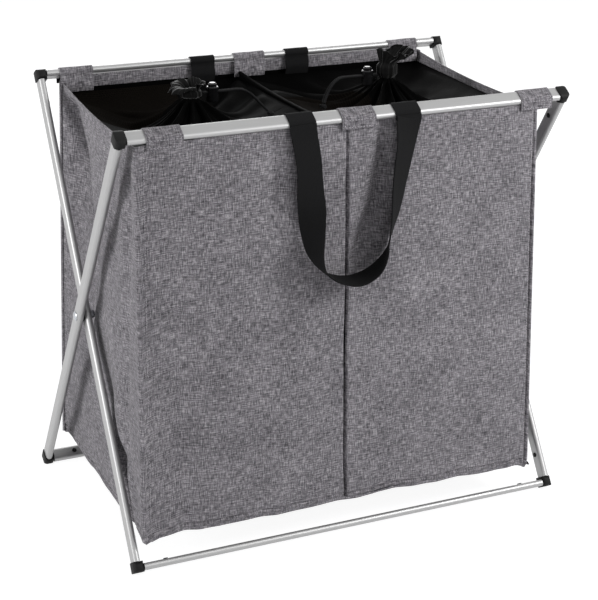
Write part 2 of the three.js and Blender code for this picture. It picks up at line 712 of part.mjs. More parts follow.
// Lock pieces round a vertical plunger axis, with the cord's slot through them along X
function lockBarrel() {
  const bore = LOCK_BARREL_RADIUS - LOCK_WALL;
  const low = -LOCK_BARREL_BELOW;
  const high = LOCK_BARREL_ABOVE;
  const edge = LOCK_BARREL_RADIUS - LOCK_CHAMFER;
  const shell = turned([
    [0, low], [edge, low], [LOCK_BARREL_RADIUS, low + LOCK_CHAMFER],
    [LOCK_BARREL_RADIUS, high - LOCK_CHAMFER], [edge, high],
    [bore, high], [bore, low + LOCK_FLOOR], [0, low + LOCK_FLOOR], [0, low],
  ]).rotateX(Math.PI / 2);
  return cut(shell, cordSlot(-CORD_RADIUS - TOUCH_GAP, CORD_RADIUS + TOUCH_GAP, 2 * TOUCH_GAP));
}

// A slot along X for two cords side by side, between two heights
function cordSlot(low, high, extra) {
  const reach = LOCK_BARREL_RADIUS + OVERRUN;
  const half = (CORD_SPACING + 2 * CORD_RADIUS) / 2 + extra;
  return blockBetween([-reach, -half, low], [reach, half, high]);
}

function lockPlunger() {
  const radius = LOCK_BARREL_RADIUS - LOCK_WALL - LOCK_PLUNGER_GAP;
  const dome = radius / 3;
  const pin = turned([
    [0, -LOCK_PLUNGER_BELOW], [radius, -LOCK_PLUNGER_BELOW], [radius, LOCK_PLUNGER_TOP - dome],
    [radius - dome, LOCK_PLUNGER_TOP], [0, LOCK_PLUNGER_TOP],
  ]).rotateX(Math.PI / 2);
  const low = -CORD_RADIUS - TOUCH_GAP;
  const high = CORD_RADIUS + 2 * TOUCH_GAP + LOCK_TRAVEL;
  return cut(pin, cordSlot(low, high, TOUCH_GAP));
}

function lockSpring() {
  const radius = LOCK_BARREL_RADIUS - LOCK_WALL - LOCK_SPRING_WIRE - 2 * LOCK_PLUNGER_GAP;
  const low = -LOCK_BARREL_BELOW + LOCK_FLOOR + LOCK_SPRING_WIRE + TOUCH_GAP;
  const high = -LOCK_PLUNGER_BELOW - LOCK_SPRING_WIRE - TOUCH_GAP;
  const steps = LOCK_SPRING_TURNS * SPRING_TURN_STEPS;
  const points = [];
  for (let i = 0; i <= steps; i += 1) {
    const angle = (i * 2 * Math.PI) / SPRING_TURN_STEPS;
    const z = THREE.MathUtils.lerp(low, high, i / steps);
    points.push(new THREE.Vector3(radius * Math.cos(angle), radius * Math.sin(angle), z));
  }
  const outline = new THREE.Shape();
  outline.absarc(0, 0, LOCK_SPRING_WIRE, 0, 2 * Math.PI);
  return new THREE.ExtrudeGeometry(outline, {
    steps,
    curveSegments: SPRING_SIDES / 2,
    extrudePath: new THREE.CatmullRomCurve3(points),
  });
}

function addCover(parent, shares) {
  const neck = { ...shares, x: shares.x * SIDE_FACE, y: shares.y * PANEL_FACE };
  addPiece(parent, `${neck.side}_cover`, coverGeometry(neck), BLACK_CLOTH);
  addPiece(parent, `${neck.side}_cover_neck`, neckGeometry(neck), BLACK_CLOTH);

  const ends = [];
  for (const [sideStep, name] of [[-CORD_SPACING / 2, 'front'], [CORD_SPACING / 2, 'rear']]) {
    const points = cordPoints(neck, sideStep);
    addPiece(parent, `${neck.side}_drawstring_${name}`, cordGeometry(points), CORD_CLOTH);
    ends.push(points);
  }
  const last = ends[0].at(-1).clone().add(ends[1].at(-1)).divideScalar(2);
  const before = ends[0].at(-2).clone().add(ends[1].at(-2)).divideScalar(2);
  const onward = last.clone().sub(before).normalize();
  const knot = new THREE.SphereGeometry(KNOT_RADIUS, KNOT_SIDES, KNOT_SIDES / 2);
  knot.translate(...last.addScaledVector(onward, KNOT_RADIUS + CORD_RADIUS - TOUCH_GAP).toArray());
  addPiece(parent, `${neck.side}_drawstring_knot`, knot, CORD_CLOTH);

  const lock = new THREE.Group();
  const start = ends[0][0];
  lock.position.set(start.x + neck.way * LOCK_FROM_NECK, neck.y, start.z);
  parent.add(lock);
  addPiece(lock, `${neck.side}_lock_barrel`, lockBarrel(), GLOSS_PLASTIC);
  addPiece(lock, `${neck.side}_lock_plunger`, lockPlunger(), GLOSS_PLASTIC);
  addPiece(lock, `${neck.side}_lock_spring`, lockSpring(), STEEL);
}

// Assembly: loop B is loop A turned half round

const loopA = new THREE.Group();
const loopB = new THREE.Group();
loopB.rotation.z = Math.PI;
hamper.add(loopA, loopB);
addFrameLoop(loopA, {
  topRail: 'front_top_rail',
  bottomRail: 'rear_bottom_rail',
  outerLeg: 'left_outer_leg',
  innerLeg: 'right_inner_leg',
  corners: {
    outer: { top: 'corner_front_top_left', bottom: 'corner_rear_bottom_left' },
    inner: { top: 'corner_front_top_right', bottom: 'corner_rear_bottom_right' },
  },
});
addFrameLoop(loopB, {
  topRail: 'rear_top_rail',
  bottomRail: 'front_bottom_rail',
  outerLeg: 'right_outer_leg',
  innerLeg: 'left_inner_leg',
  corners: {
    outer: { top: 'corner_rear_top_right', bottom: 'corner_front_bottom_right' },
    inner: { top: 'corner_rear_top_left', bottom: 'corner_front_bottom_left' },
  },
});
addPivot(loopA, 'left');
addPivot(loopB, 'right');
addBag(hamper);
addTabs(hamper, 'front', FRONT_TAB_SHARES, 0);
addTabs(hamper, 'rear', REAR_TAB_SHARES, Math.PI);
addStrap(hamper, 'front', 0, ['left', 'right']);
addStrap(hamper, 'rear', Math.PI, ['right', 'left']);
NECK_PLACE_SHARES.forEach((shares) => addCover(hamper, shares));

export default hamper;
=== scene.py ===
"""Laundry hamper with two bins: a crossed frame of oval tube, a woven bag and its straps."""

import json
import math
from functools import partial

import bmesh
import bpy
from mathutils import Matrix, Vector, noise
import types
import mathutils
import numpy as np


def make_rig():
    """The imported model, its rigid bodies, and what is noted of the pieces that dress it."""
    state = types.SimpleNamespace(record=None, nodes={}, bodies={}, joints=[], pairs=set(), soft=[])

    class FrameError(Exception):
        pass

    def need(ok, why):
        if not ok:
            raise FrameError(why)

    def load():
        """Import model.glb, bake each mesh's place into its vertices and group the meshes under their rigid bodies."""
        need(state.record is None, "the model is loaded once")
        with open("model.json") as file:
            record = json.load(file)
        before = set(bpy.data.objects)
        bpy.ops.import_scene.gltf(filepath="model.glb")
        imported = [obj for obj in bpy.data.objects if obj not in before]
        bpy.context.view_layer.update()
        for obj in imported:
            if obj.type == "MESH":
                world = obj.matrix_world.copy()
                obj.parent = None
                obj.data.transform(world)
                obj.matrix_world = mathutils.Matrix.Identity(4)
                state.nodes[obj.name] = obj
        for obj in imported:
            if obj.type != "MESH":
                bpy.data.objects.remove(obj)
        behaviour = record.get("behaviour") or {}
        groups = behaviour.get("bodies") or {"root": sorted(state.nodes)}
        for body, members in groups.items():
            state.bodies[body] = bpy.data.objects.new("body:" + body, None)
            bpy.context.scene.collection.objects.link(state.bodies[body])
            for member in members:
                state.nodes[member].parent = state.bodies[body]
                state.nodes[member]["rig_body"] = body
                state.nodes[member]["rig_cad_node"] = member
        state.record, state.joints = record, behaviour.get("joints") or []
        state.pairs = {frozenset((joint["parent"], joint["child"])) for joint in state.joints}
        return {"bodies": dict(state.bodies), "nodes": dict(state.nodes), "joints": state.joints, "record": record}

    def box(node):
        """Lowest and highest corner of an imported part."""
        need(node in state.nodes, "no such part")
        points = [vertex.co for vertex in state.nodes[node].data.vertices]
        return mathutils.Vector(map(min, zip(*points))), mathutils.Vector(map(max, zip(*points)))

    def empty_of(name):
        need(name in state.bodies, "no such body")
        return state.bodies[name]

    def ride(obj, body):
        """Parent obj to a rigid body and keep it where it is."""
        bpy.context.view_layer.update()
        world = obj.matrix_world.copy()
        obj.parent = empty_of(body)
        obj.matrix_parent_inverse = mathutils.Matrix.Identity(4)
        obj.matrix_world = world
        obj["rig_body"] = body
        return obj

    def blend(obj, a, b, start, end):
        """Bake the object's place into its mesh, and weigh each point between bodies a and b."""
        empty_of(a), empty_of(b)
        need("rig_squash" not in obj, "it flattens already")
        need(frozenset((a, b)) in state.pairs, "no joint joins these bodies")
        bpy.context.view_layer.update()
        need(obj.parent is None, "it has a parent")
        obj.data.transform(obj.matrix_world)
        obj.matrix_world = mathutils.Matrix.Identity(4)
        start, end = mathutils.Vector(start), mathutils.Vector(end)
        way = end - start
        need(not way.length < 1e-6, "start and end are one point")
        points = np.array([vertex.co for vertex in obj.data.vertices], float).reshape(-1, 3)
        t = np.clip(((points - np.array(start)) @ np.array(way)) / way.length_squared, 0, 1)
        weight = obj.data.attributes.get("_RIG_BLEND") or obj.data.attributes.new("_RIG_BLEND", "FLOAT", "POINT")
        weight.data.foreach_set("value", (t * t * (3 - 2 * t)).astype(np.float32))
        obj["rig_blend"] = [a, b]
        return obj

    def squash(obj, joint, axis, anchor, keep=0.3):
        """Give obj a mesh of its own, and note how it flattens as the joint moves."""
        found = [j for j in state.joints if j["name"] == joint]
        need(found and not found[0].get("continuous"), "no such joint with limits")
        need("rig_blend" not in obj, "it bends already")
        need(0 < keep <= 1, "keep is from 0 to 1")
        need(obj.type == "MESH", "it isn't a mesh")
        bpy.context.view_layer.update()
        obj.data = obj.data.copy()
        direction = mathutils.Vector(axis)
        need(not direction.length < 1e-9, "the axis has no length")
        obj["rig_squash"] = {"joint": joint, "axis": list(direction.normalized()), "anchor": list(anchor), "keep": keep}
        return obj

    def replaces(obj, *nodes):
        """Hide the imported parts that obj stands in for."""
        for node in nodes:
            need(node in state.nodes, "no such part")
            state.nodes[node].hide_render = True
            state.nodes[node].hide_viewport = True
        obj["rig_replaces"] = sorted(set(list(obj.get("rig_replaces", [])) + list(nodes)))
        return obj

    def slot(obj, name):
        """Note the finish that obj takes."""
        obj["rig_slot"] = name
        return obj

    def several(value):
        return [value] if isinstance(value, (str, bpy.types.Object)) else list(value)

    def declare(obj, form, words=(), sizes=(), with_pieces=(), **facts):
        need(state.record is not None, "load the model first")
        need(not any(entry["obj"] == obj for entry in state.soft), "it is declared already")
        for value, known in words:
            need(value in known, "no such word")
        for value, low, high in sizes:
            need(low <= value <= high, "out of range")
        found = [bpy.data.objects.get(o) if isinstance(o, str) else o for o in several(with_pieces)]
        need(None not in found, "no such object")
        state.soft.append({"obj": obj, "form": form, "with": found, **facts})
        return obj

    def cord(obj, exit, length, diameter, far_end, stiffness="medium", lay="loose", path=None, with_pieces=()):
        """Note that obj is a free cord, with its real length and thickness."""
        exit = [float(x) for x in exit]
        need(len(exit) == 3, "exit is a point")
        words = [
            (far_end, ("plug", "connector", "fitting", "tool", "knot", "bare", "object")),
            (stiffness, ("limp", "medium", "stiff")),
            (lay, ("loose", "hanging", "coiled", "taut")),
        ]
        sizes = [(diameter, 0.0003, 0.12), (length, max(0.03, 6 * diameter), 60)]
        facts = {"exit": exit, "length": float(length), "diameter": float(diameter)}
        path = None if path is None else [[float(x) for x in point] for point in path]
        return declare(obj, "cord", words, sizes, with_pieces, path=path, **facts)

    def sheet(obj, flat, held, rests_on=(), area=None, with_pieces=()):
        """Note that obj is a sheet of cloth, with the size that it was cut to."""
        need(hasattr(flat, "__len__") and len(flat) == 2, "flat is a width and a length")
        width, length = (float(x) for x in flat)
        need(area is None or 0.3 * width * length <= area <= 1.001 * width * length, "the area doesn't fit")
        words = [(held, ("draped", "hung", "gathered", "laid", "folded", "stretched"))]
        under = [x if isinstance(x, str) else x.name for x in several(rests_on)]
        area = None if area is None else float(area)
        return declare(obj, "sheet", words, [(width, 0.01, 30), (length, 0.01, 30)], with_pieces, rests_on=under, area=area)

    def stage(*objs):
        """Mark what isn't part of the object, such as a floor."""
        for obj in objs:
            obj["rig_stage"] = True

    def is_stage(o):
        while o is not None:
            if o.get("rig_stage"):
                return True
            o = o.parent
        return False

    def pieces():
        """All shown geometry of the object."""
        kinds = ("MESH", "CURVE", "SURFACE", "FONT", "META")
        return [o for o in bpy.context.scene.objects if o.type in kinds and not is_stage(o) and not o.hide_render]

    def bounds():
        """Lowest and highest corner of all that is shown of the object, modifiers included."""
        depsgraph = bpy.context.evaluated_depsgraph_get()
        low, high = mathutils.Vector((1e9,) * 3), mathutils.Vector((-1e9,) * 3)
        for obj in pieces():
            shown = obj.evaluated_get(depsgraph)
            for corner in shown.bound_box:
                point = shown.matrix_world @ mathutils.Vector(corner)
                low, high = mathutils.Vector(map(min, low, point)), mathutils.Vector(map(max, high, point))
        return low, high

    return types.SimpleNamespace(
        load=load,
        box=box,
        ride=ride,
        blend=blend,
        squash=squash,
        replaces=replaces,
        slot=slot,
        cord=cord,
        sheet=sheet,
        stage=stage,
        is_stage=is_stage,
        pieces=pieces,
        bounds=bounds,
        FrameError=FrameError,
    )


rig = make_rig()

bl_info = {
    "name": "Laundry hamper with two bins",
    "version": (1, 0, 0),
    "blender": (4, 5, 0),
    "location": "3D View > Sidebar > Hamper",
    "description": "Dresses the hamper's frame with its tubes, cloth, straps and cords",
    "category": "Object",
}

for stray in list(bpy.data.objects):
    bpy.data.objects.remove(stray)
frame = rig.load()
CAD_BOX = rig.bounds()
SIZE_FILE = "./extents.json"

# Camera, fitted to the frame's corners that the photograph shows
CAMERA_AZIMUTH = math.radians(-24.823)
CAMERA_ELEVATION = math.radians(18.342)
CAMERA_ROLL = math.radians(0.617)
CAMERA_DISTANCE = 2.2891
CAMERA_TARGET = Vector((0.006, 0, 0.3530))
CAMERA_SENSOR = 36.0
IMAGE_SIDE = 600
FOCAL_PIXELS = 1673.2
AXIS_ABOVE_MIDDLE = 60

# Frame
LEAN = math.radians(32.45)
RAIL_Y = 0.179
TOP_RAIL_Z = 0.5712
BOTTOM_RAIL_Z = 0.0082
PIVOT_Z = 0.2897
HALF_LEG = 0.33359
OUTER_LEG_X = 0.3093
INNER_LEG_X = 0.2987
TUBE_WIDE = 0.020
TUBE_NARROW = 0.009
TUBE_END_GAP = 0.0083
NUB_FROM_CORNER = 0.040
NUB_HOLE = 0.0035
TUBE_WALL = 0.001
PIVOT_HOLE = 0.0036
BOLT_HEAD = 0.0065
BOLT_HEAD_DEEP = 0.0024
BOLT_DOME = 1.2
BOLT_SHANK = 0.0029
BOLT_LENGTH = 0.0262
BOLT_CHAMFER = 0.0004
# Profiles of turned parts: radius and distance along the axis
WASHER_PROFILE = (
    (0.0033, 0.0001), (0.0035, 0), (0.0078, 0), (0.008, 0.0002),
    (0.008, 0.0008), (0.0078, 0.001), (0.0035, 0.001), (0.0033, 0.0009),
)
NUT_PROFILE = (
    (0.0033, 0), (0.0051, 0), (0.0055, 0.0004), (0.0055, 0.0036), (0.0048, 0.0049),
    (0.0034, 0.0055), (0, 0.0055), (0, 0.0042), (0.0033, 0.0042),
)

# Bag
SIDE = 0.282
FACE = 0.186
# The bag hangs to the left and narrows upwards: x of its sides at the bottom and the rim
WALLS = {
    "left": {"front": (-0.2919, -0.2925), "rear": (-0.2826, -0.2691)},
    "right": {"front": (0.2761, 0.2596), "rear": (0.282, 0.2802)},
}
RIM_Z = 0.5612
BAG_LOW = 0.050
SEWN_IN = 0.1808
TAB_SEWN = 0.1805
BASE_INSET = 0.003
HEM_SEAM = 0.0085
RIM_SAG = 0.007
DIVIDER_LOW = 0.0533
DIVIDER_TOP = RIM_Z - 0.006
SEAM_X = -0.012
SEAM_LEAN = 0.0066
FOLD_KEEP = 0.161
INSIDE_KEEP = 0.14
DIVIDER_KEEP = 0.112
COVER_KEEP = 0.126
TAB_MIDDLES = {
    "front": {"left": -0.2550, "middle": -0.00113, "right": 0.25493},
    "rear": {"left": -0.24985, "middle": 0.00395, "right": 0.24872},
}
TAB_WIDTH = 0.046
TAB_THICK = 0.0015
TAB_HANG = 0.015
TAB_INSIDE_HANG = 0.024
STRAP_WIDTH = 0.035
STRAP_THICK = 0.0016
STRAP_HANG = 0.005
STRAP_INSIDE_HANG = 0.060
STRAP_LOOP_WIDTH = 0.185
STRAP_MIDDLE = -0.0055
STRAP_DROP = 0.1986
# Share across, share of the drop, share proud of the panel, and quarter turns
STRAP_ROUTE = [
    (-0.485, -0.008, 0.95, 0), (-0.483, 0.03, 1, 0), (-0.472, 0.09, 1.4, -0.04),
    (-0.456, 0.17, 1.9, -0.06), (-0.441, 0.26, 2.1, -0.06), (-0.434, 0.35, 1.8, -0.04),
    (-0.428, 0.47, 1.0, 0.1), (-0.41, 0.597, 0.5, 0.42), (-0.379, 0.72, 0.4, 0.67),
    (-0.34, 0.82, 0.4, 0.86), (-0.28, 0.901, 0.4, 1.0), (-0.21, 0.96, 0.4, 1.01),
    (-0.12, 0.992, 0.4, 1.03), (-0.03, 1.003, 0.4, 1.05), (0.06, 0.989, 0.4, 1.01),
    (0.14, 0.955, 0.4, 0.93), (0.21, 0.901, 0.4, 0.79), (0.255, 0.845, 0.4, 0.69),
    (0.275, 0.787, 0.4, 0.66), (0.3, 0.712, 0.4, 0.6), (0.332, 0.63, 0.4, 0.52),
    (0.358, 0.54, 0.4, 0.45), (0.381, 0.44, 0.4, 0.38), (0.406, 0.34, 0.5, 0.32),
    (0.428, 0.245, 0.65, 0.28), (0.448, 0.165, 0.8, 0.22), (0.467, 0.09, 0.93, 0.1),
    (0.485, 0.03, 1, 0), (0.485, -0.008, 0.95, 0),
]
TOUCH = 0.0003
STRAP_FOLD_TOP = 0.553
TAB_FOLD_TOP = 0.541
# The left side's soft folds: how far out, y at a height of 0.3 m, slope and reach
LEFT_FOLDS = (
    (-0.006, 0.05, -0.25, 0.03), (0.005, -0.07, -0.12, 0.03), (-0.006, -0.135, 0.1, 0.012),
)
RAIL_STRAIGHT = (TUBE_WIDE - TUBE_NARROW) / 2
STRAP_RAIL_Y = -(
    RAIL_Y + RAIL_STRAIGHT * math.cos(LEAN) + TUBE_NARROW / 2 + TOUCH + STRAP_THICK / 2
)
# Each row of tabs and straps: its name, its half turn, and the bodies that carry it
ROWS = (
    ("front", 0, "frame_a", "bag", "front_strap"),
    ("rear", math.pi, "frame_b", "back_panel", "rear_strap"),
)

# Covers, necks and drawstrings
COVER_Z = 0.5452
COVER_SAG = 0.016
COVER_SIDE = 0.2787
COVER_GAP = 0.0013
COVER_THICK = 0.0008
# The flat cover is taken as a ring whose mean girth is about a metre
COVER_GIRTH = 1.0
COVER_DEEP = 0.13
NECK_Z = 0.5672
NECK_HOLE = 0.009
NECKS = {
    "left": {"x": -0.15002, "y": 0.0, "way": 1},
    "right": {"x": 0.13987, "y": 0.01004, "way": -1},
}
RUFFLES = {
    "left": {
        "seed": 81, "pleats": 7, "top": 0.5845, "lean": (-0.005, 0.003),
        "spread": 0.0105, "opening": 1.0, "flat": (0.100, 0.030),
    },
    "right": {
        "seed": 91, "pleats": 8, "top": 0.6035, "lean": (0.013, 0.003),
        "spread": 0.0135, "opening": 0.6, "flat": (0.120, 0.038),
    },
}
RUFFLE_TOP = 0.6055
RUFFLE_WIDEST = 0.031
CORD_RADIUS = 0.0015
CORD_START = 0.0159
CORD_Z = NECK_Z + 0.005
CORD_ROUTE = [  # along, up and forwards from where the cord leaves the neck, in millimetres
    (0, 0, 0), (8, 0, 0), (16, 0, 0), (24, 0, 0), (32, 0, 0), (40, 0, 0), (48, 0, 0),
    (56, -1, 0), (64, -5, -1), (71, -11, -3), (77, -18, -6), (82, -24, -10), (86, -29, -15),
]
CORD_SPREAD = [1] * 8 + [1.05, 1.15, 1.3, 1.35, 1.25]
CORD_HALF_SPACING = 0.0018
KNOT_SIZE = 0.0030
KNOT_RADIUS = 0.0012
BUTTON_TRAVEL = 0.0036

# Lights: name, place, target, side and watts
SOFTBOXES = (
    ("key_softbox", (1.2, -1.2, 1.3), (0.1, 0, 0.35), 0.6, 20),
    ("front_softbox", (0.85, -1.95, 1.0), (0, 0, 0.45), 0.45, 4.5),
    ("left_softbox", (-2.4, -0.1, 0.9), (0, 0, 0.3), 0.9, 27),
    ("rear_softbox", (0.7, 2.4, 1.3), (0, 0, 0.3), 1.2, 18),
)


def linear(hex_colour):
    """An sRGB hex colour as Blender's linear RGBA."""
    values = [int(hex_colour[i:i + 2], 16) / 255 for i in (1, 3, 5)]
    return tuple(
        v / 12.92 if v <= 0.04045 else ((v + 0.055) / 1.055) ** 2.4 for v in values
    ) + (1.0,)


def smooth_step(low, high, value):
    share = min(1.0, max(0.0, (value - low) / (high - low)))
    return share * share * (3 - 2 * share)


def lerp(a, b, share):
    return a + (b - a) * share


def bell(distance, reach):
    return math.exp(-((distance / reach) ** 2))


def ripple(x, y, size, seed):
    """Smooth noise from about -1 to 1 whose lumps are about size across."""
    return noise.noise(Vector((x / size, y / size, seed * 7.3)))


# Property groups


def colour_property(name, description, hex_colour):
    return bpy.props.FloatVectorProperty(
        name=name, description=description, subtype="COLOR", size=4, min=0, max=1,
        default=linear(hex_colour),
    )


def length_property(name, description, metres):
    return bpy.props.FloatProperty(
        name=name, description=description, unit="LENGTH", default=metres, min=0, precision=4,
    )


class HamperSizes(bpy.types.PropertyGroup):
    """Sizes of the sewn pieces"""

    cloth: length_property("Cloth", "Thickness of the bag's cloth and lining", 0.0014)
    hem_band: length_property("Hem band", "Height of the grey band inside the rim", 0.0145)
    edge_seam: length_property("Edge seam", "From the front's side edges to its seams", 0.0075)
    yarn: length_property("Yarn", "Width of one yarn as drawn", 0.0013)
    stitch: length_property("Stitch", "Pitch of the topstitching", 0.004)
    piping: length_property("Piping", "Radius of the piping round the bottom", 0.0028)


class HamperColours(bpy.types.PropertyGroup):
    """Colours of the finishes"""

    yarn_dark: colour_property("Dark yarn", "Darkest yarn of the melange cloth", "#3B393D")
    yarn_middle: colour_property("Middle yarn", "Middle yarn of the melange cloth", "#7B787D")
    yarn_light: colour_property("Light yarn", "Lightest yarn of the melange cloth", "#BCB8BC")
    lining: colour_property("Lining", "Black lining cloth", "#060606")
    net: colour_property("Net", "Net of the covers", "#0F0D0B")
    webbing: colour_property("Webbing", "Webbing of the straps", "#0E0E0F")
    tube: colour_property("Tube", "Anodised aluminium tube", "#B5B5B5")
    connector: colour_property("Connector", "Corner connectors", "#0A0A0A")
    lock: colour_property("Lock", "Cord locks", "#0B0B0C")
    steel: colour_property("Steel", "Plated bolts, nuts and springs", "#C3C6CA")
    cord: colour_property("Cord", "Drawstrings", "#101011")


# Materials


def add_node(tree, kind, inputs=(), out=0, stops=(), **settings):
    """Adds a node. An input is a value or an output to link, and stops are a colour ramp's."""
    node = tree.nodes.new("ShaderNode" + kind)
    for name, value in settings.items():
        setattr(node, name, value)
    for name, value in inputs.items() if isinstance(inputs, dict) else enumerate(inputs):
        if isinstance(value, bpy.types.NodeSocket):
            tree.links.new(value, node.inputs[name])
        else:
            node.inputs[name].default_value = value
    if stops:
        points = node.color_ramp.elements
        while len(points) < len(stops):
            points.new(0.5)
        for point, (place, colour) in zip(points, stops):
            point.position, point.color = place, colour
    return node.outputs[out] if node.outputs else None


def times(colour, factor):
    return [c * factor for c in colour[:3]] + [1]


def new_material(name):
    """Starts a material, and gives the function that adds nodes to it."""
    material = bpy.data.materials.new(name)
    material.use_nodes = True
    material.node_tree.nodes.clear()
    return partial(add_node, material.node_tree)


def close_material(node, colour, shader, height=None, depth=0.0, strength=1.0):
    """The bump, the surface shader and the output that every finish ends with."""
    if height is not None:
        lift = {"Height": height, "Distance": depth, "Strength": strength}
        shader["Normal"] = node("Bump", lift)
    surface = node("BsdfPrincipled", {"Base Color": colour, **shader})
    node("OutputMaterial", {"Surface": surface})


def flat_place(node, across, along, turn=0.0):
    """The cloth's own coordinates in metres, turned, and times a scale each way."""
    place = node("UVMap", uv_map="flat")
    return node("Mapping", {
        "Vector": place, "Scale": (across, along, 1), "Rotation": (0, 0, turn),
    })


def cloth_noise(node, across, along, detail=2.0, roughness=0.5):
    """Noise that follows the cloth, with about that many lumps to the metre each way."""
    place = flat_place(node, across, along)
    return node("TexNoise", {
        "Vector": place, "Scale": 1.0, "Detail": detail, "Roughness": roughness,
    })


def melange_weave(node, colours):
    """Melange polyester, plain woven from slubby yarn: matt, with light and dark streaks."""
    # Yarns are about 0.8 mm apart in the real cloth, and are drawn wider so that they show
    fine = 1 / bpy.context.scene.hamper_sizes.yarn
    warp = cloth_noise(node, fine, fine / 8, 3, 0.65)
    weft = cloth_noise(node, fine / 9, fine, 3, 0.65)
    tone = both = node("Math", (warp, weft), operation="ADD")
    for lumps, share in ((22, 0.18), (fine / 5, 0.12)):
        patch = cloth_noise(node, lumps, lumps)
        tone = node("Math", (patch, share, tone), operation="MULTIPLY_ADD")
    level = node("Math", (tone, 1.72, -1.49), operation="MULTIPLY_ADD")
    colour = node("ValToRGB", (level,), stops=[
        (0.08, colours.yarn_dark), (0.5, colours.yarn_middle), (0.95, colours.yarn_light),
    ])
    threads = flat_place(node, 2 * fine, 2 * fine)
    weave = node("TexChecker", {"Vector": threads, "Scale": 0.5}, 1)
    height = node("Math", (weave, 0.3, both), operation="MULTIPLY_ADD")
    close_material(node, colour, {
        "Roughness": 0.92, "Specular IOR Level": 0.25, "Sheen Weight": 0.12, "Sheen Roughness": 0.6,
    }, height, 0.0005)


def satin_lining(node, colours):
    """Black polyester lining with a satin face: dark, with a soft shine along its folds."""
    crease = cloth_noise(node, 60, 60, 4, 0.6)
    thread = cloth_noise(node, 900, 130, 1)
    colour = node("ValToRGB", (thread,), stops=[
        (0.3, colours.lining), (0.75, times(colours.lining, 1.7)),
    ])
    height = node("Math", (thread, 0.06, crease), operation="MULTIPLY_ADD")
    close_material(
        node, colour, {"Roughness": 0.6, "Specular IOR Level": 0.018}, height, 0.0012, 0.7,
    )


def satin_and_net(node, colours):
    """Lining satin with panels of knitted net, whose holes are drawn 3 mm apart to show."""
    crease = cloth_noise(node, 55, 55, 4, 0.6)
    hole = node("TexVoronoi", {
        "Vector": flat_place(node, 330, 330), "Scale": 1.0, "Randomness": 0.25,
    }, "Distance", voronoi_dimensions="2D")
    net = node("ValToRGB", (hole,), stops=[
        (0.2, times(colours.net, 0.3)), (0.42, times(colours.net, 1.5)),
    ])
    zone = node("Attribute", out="Fac", attribute_name="net")
    zone = node("Math", (zone, 0.5), operation="GREATER_THAN")
    colour = node(
        "Mix", {"Factor": zone, 6: tuple(colours.lining), 7: net}, 2, data_type="RGBA",
    )
    height = node("Math", (hole, zone), operation="MULTIPLY")
    height = node("Math", (crease, height), operation="ADD")
    rough = node("Math", (zone, 0.4, 0.5), operation="MULTIPLY_ADD")
    close_material(
        node, colour, {"Roughness": rough, "Specular IOR Level": 0.008}, height, 0.001, 0.7,
    )


def sheer_organza(node, colours):
    """Black organza, finely woven and sheer: dark, with a pale bloom where it turns away."""
    thread = cloth_noise(node, 900, 900)
    colour = node("ValToRGB", (thread,), stops=[
        (0.3, colours.lining), (0.75, times(colours.lining, 3)),
    ])
    close_material(node, colour, {
        "Roughness": 0.6, "Specular IOR Level": 0.06, "Sheen Weight": 0.5, "Sheen Roughness": 0.35,
    }, cloth_noise(node, 90, 60, 3), 0.0012, 0.6)


def ribbed_webbing(node, colours):
    """Polypropylene webbing with woven ribs: near black and dull, with a faint sheen that is partly real gloss and
    partly painted as lighter colour on the ribs' crowns.
    """
    rib_height_and_sheen = node("TexWave", {
        "Vector": flat_place(node, 190, 22), "Scale": 1.0, "Distortion": 0.4, "Detail": 1.0,
    }, "Fac", bands_direction="X")
    pick = cloth_noise(node, 500, 900)
    tone = node("Math", (rib_height_and_sheen, 0.25, pick), operation="MULTIPLY_ADD")
    # The ribs' crowns are painted lighter and their grooves darker, a painted sheen and painted shade; the fine picks
    # give the webbing's own tone
    colour = node("ValToRGB", (tone,), stops=[
        (0.35, times(colours.webbing, 0.7)), (0.9, times(colours.webbing, 1.5)),
    ])
    close_material(
        node, colour, {"Roughness": 0.85, "Specular IOR Level": 0.15}, tone, 0.0004,
    )


def hook_and_loop(node, colours):
    """Hook-and-loop tape: black, matt and fuzzy."""
    fuzz = cloth_noise(node, 1400, 1400, 3, 0.7)
    colour = node("ValToRGB", (fuzz,), stops=[
        (0.35, linear("#060607")), (0.75, linear("#1E1E20")),
    ])
    close_material(
        node, colour, {"Roughness": 0.95, "Specular IOR Level": 0.2}, fuzz, 0.0008,
    )


def anodised_aluminium(node, colours):
    """Drawn aluminium tube, brushed and anodised in silver: satin, with fine lines along it."""
    lines = cloth_noise(node, 9, 2600, 3, 0.6)
    cloud = cloth_noise(node, 14, 60)
    colour = node("ValToRGB", (lines,), stops=[
        (0.3, times(colours.tube, 0.86)), (0.7, colours.tube),
    ])
    rough = node("Math", (cloud, 0.08, 0.3), operation="MULTIPLY_ADD")
    rough = node("Math", (lines, 0.16, rough), operation="MULTIPLY_ADD")
    # The anodised film scatters some light, so the tube is not quite all metal
    close_material(node, colour, {"Metallic": 0.62, "Roughness": rough}, lines, 0.00006, 0.6)


def moulded_plastic(tint, roughness, shine, grain, depth, node, colours):
    """Moulded plastic with the fine grain of its mould."""
    place = node("TexCoord", out="Object")
    spark = node("TexNoise", {"Vector": place, "Scale": grain, "Detail": 2})
    wear = node("TexNoise", {"Vector": place, "Scale": 90, "Detail": 3})
    base = getattr(colours, tint)
    colour = node("ValToRGB", (wear,), stops=[(0.35, base), (0.8, times(base, 1.6))])
    rough = node("Math", (wear, 0.12, roughness), operation="MULTIPLY_ADD")
    close_material(
        node, colour, {"Roughness": rough, "Specular IOR Level": shine}, spark, depth, 0.5,
    )


def zinc_plated_steel(node, colours):
    """Bright zinc-plated steel with faint turning marks."""
    place = node("TexCoord", out="Object")
    mark = node("TexNoise", {"Vector": place, "Scale": 700, "Detail": 2})
    colour = node("ValToRGB", (mark,), stops=[
        (0.3, times(colours.steel, 0.8)), (0.7, colours.steel),
    ])
    rough = node("Math", (mark, 0.2, 0.18), operation="MULTIPLY_ADD")
    close_material(node, colour, {"Metallic": 1.0, "Roughness": rough})


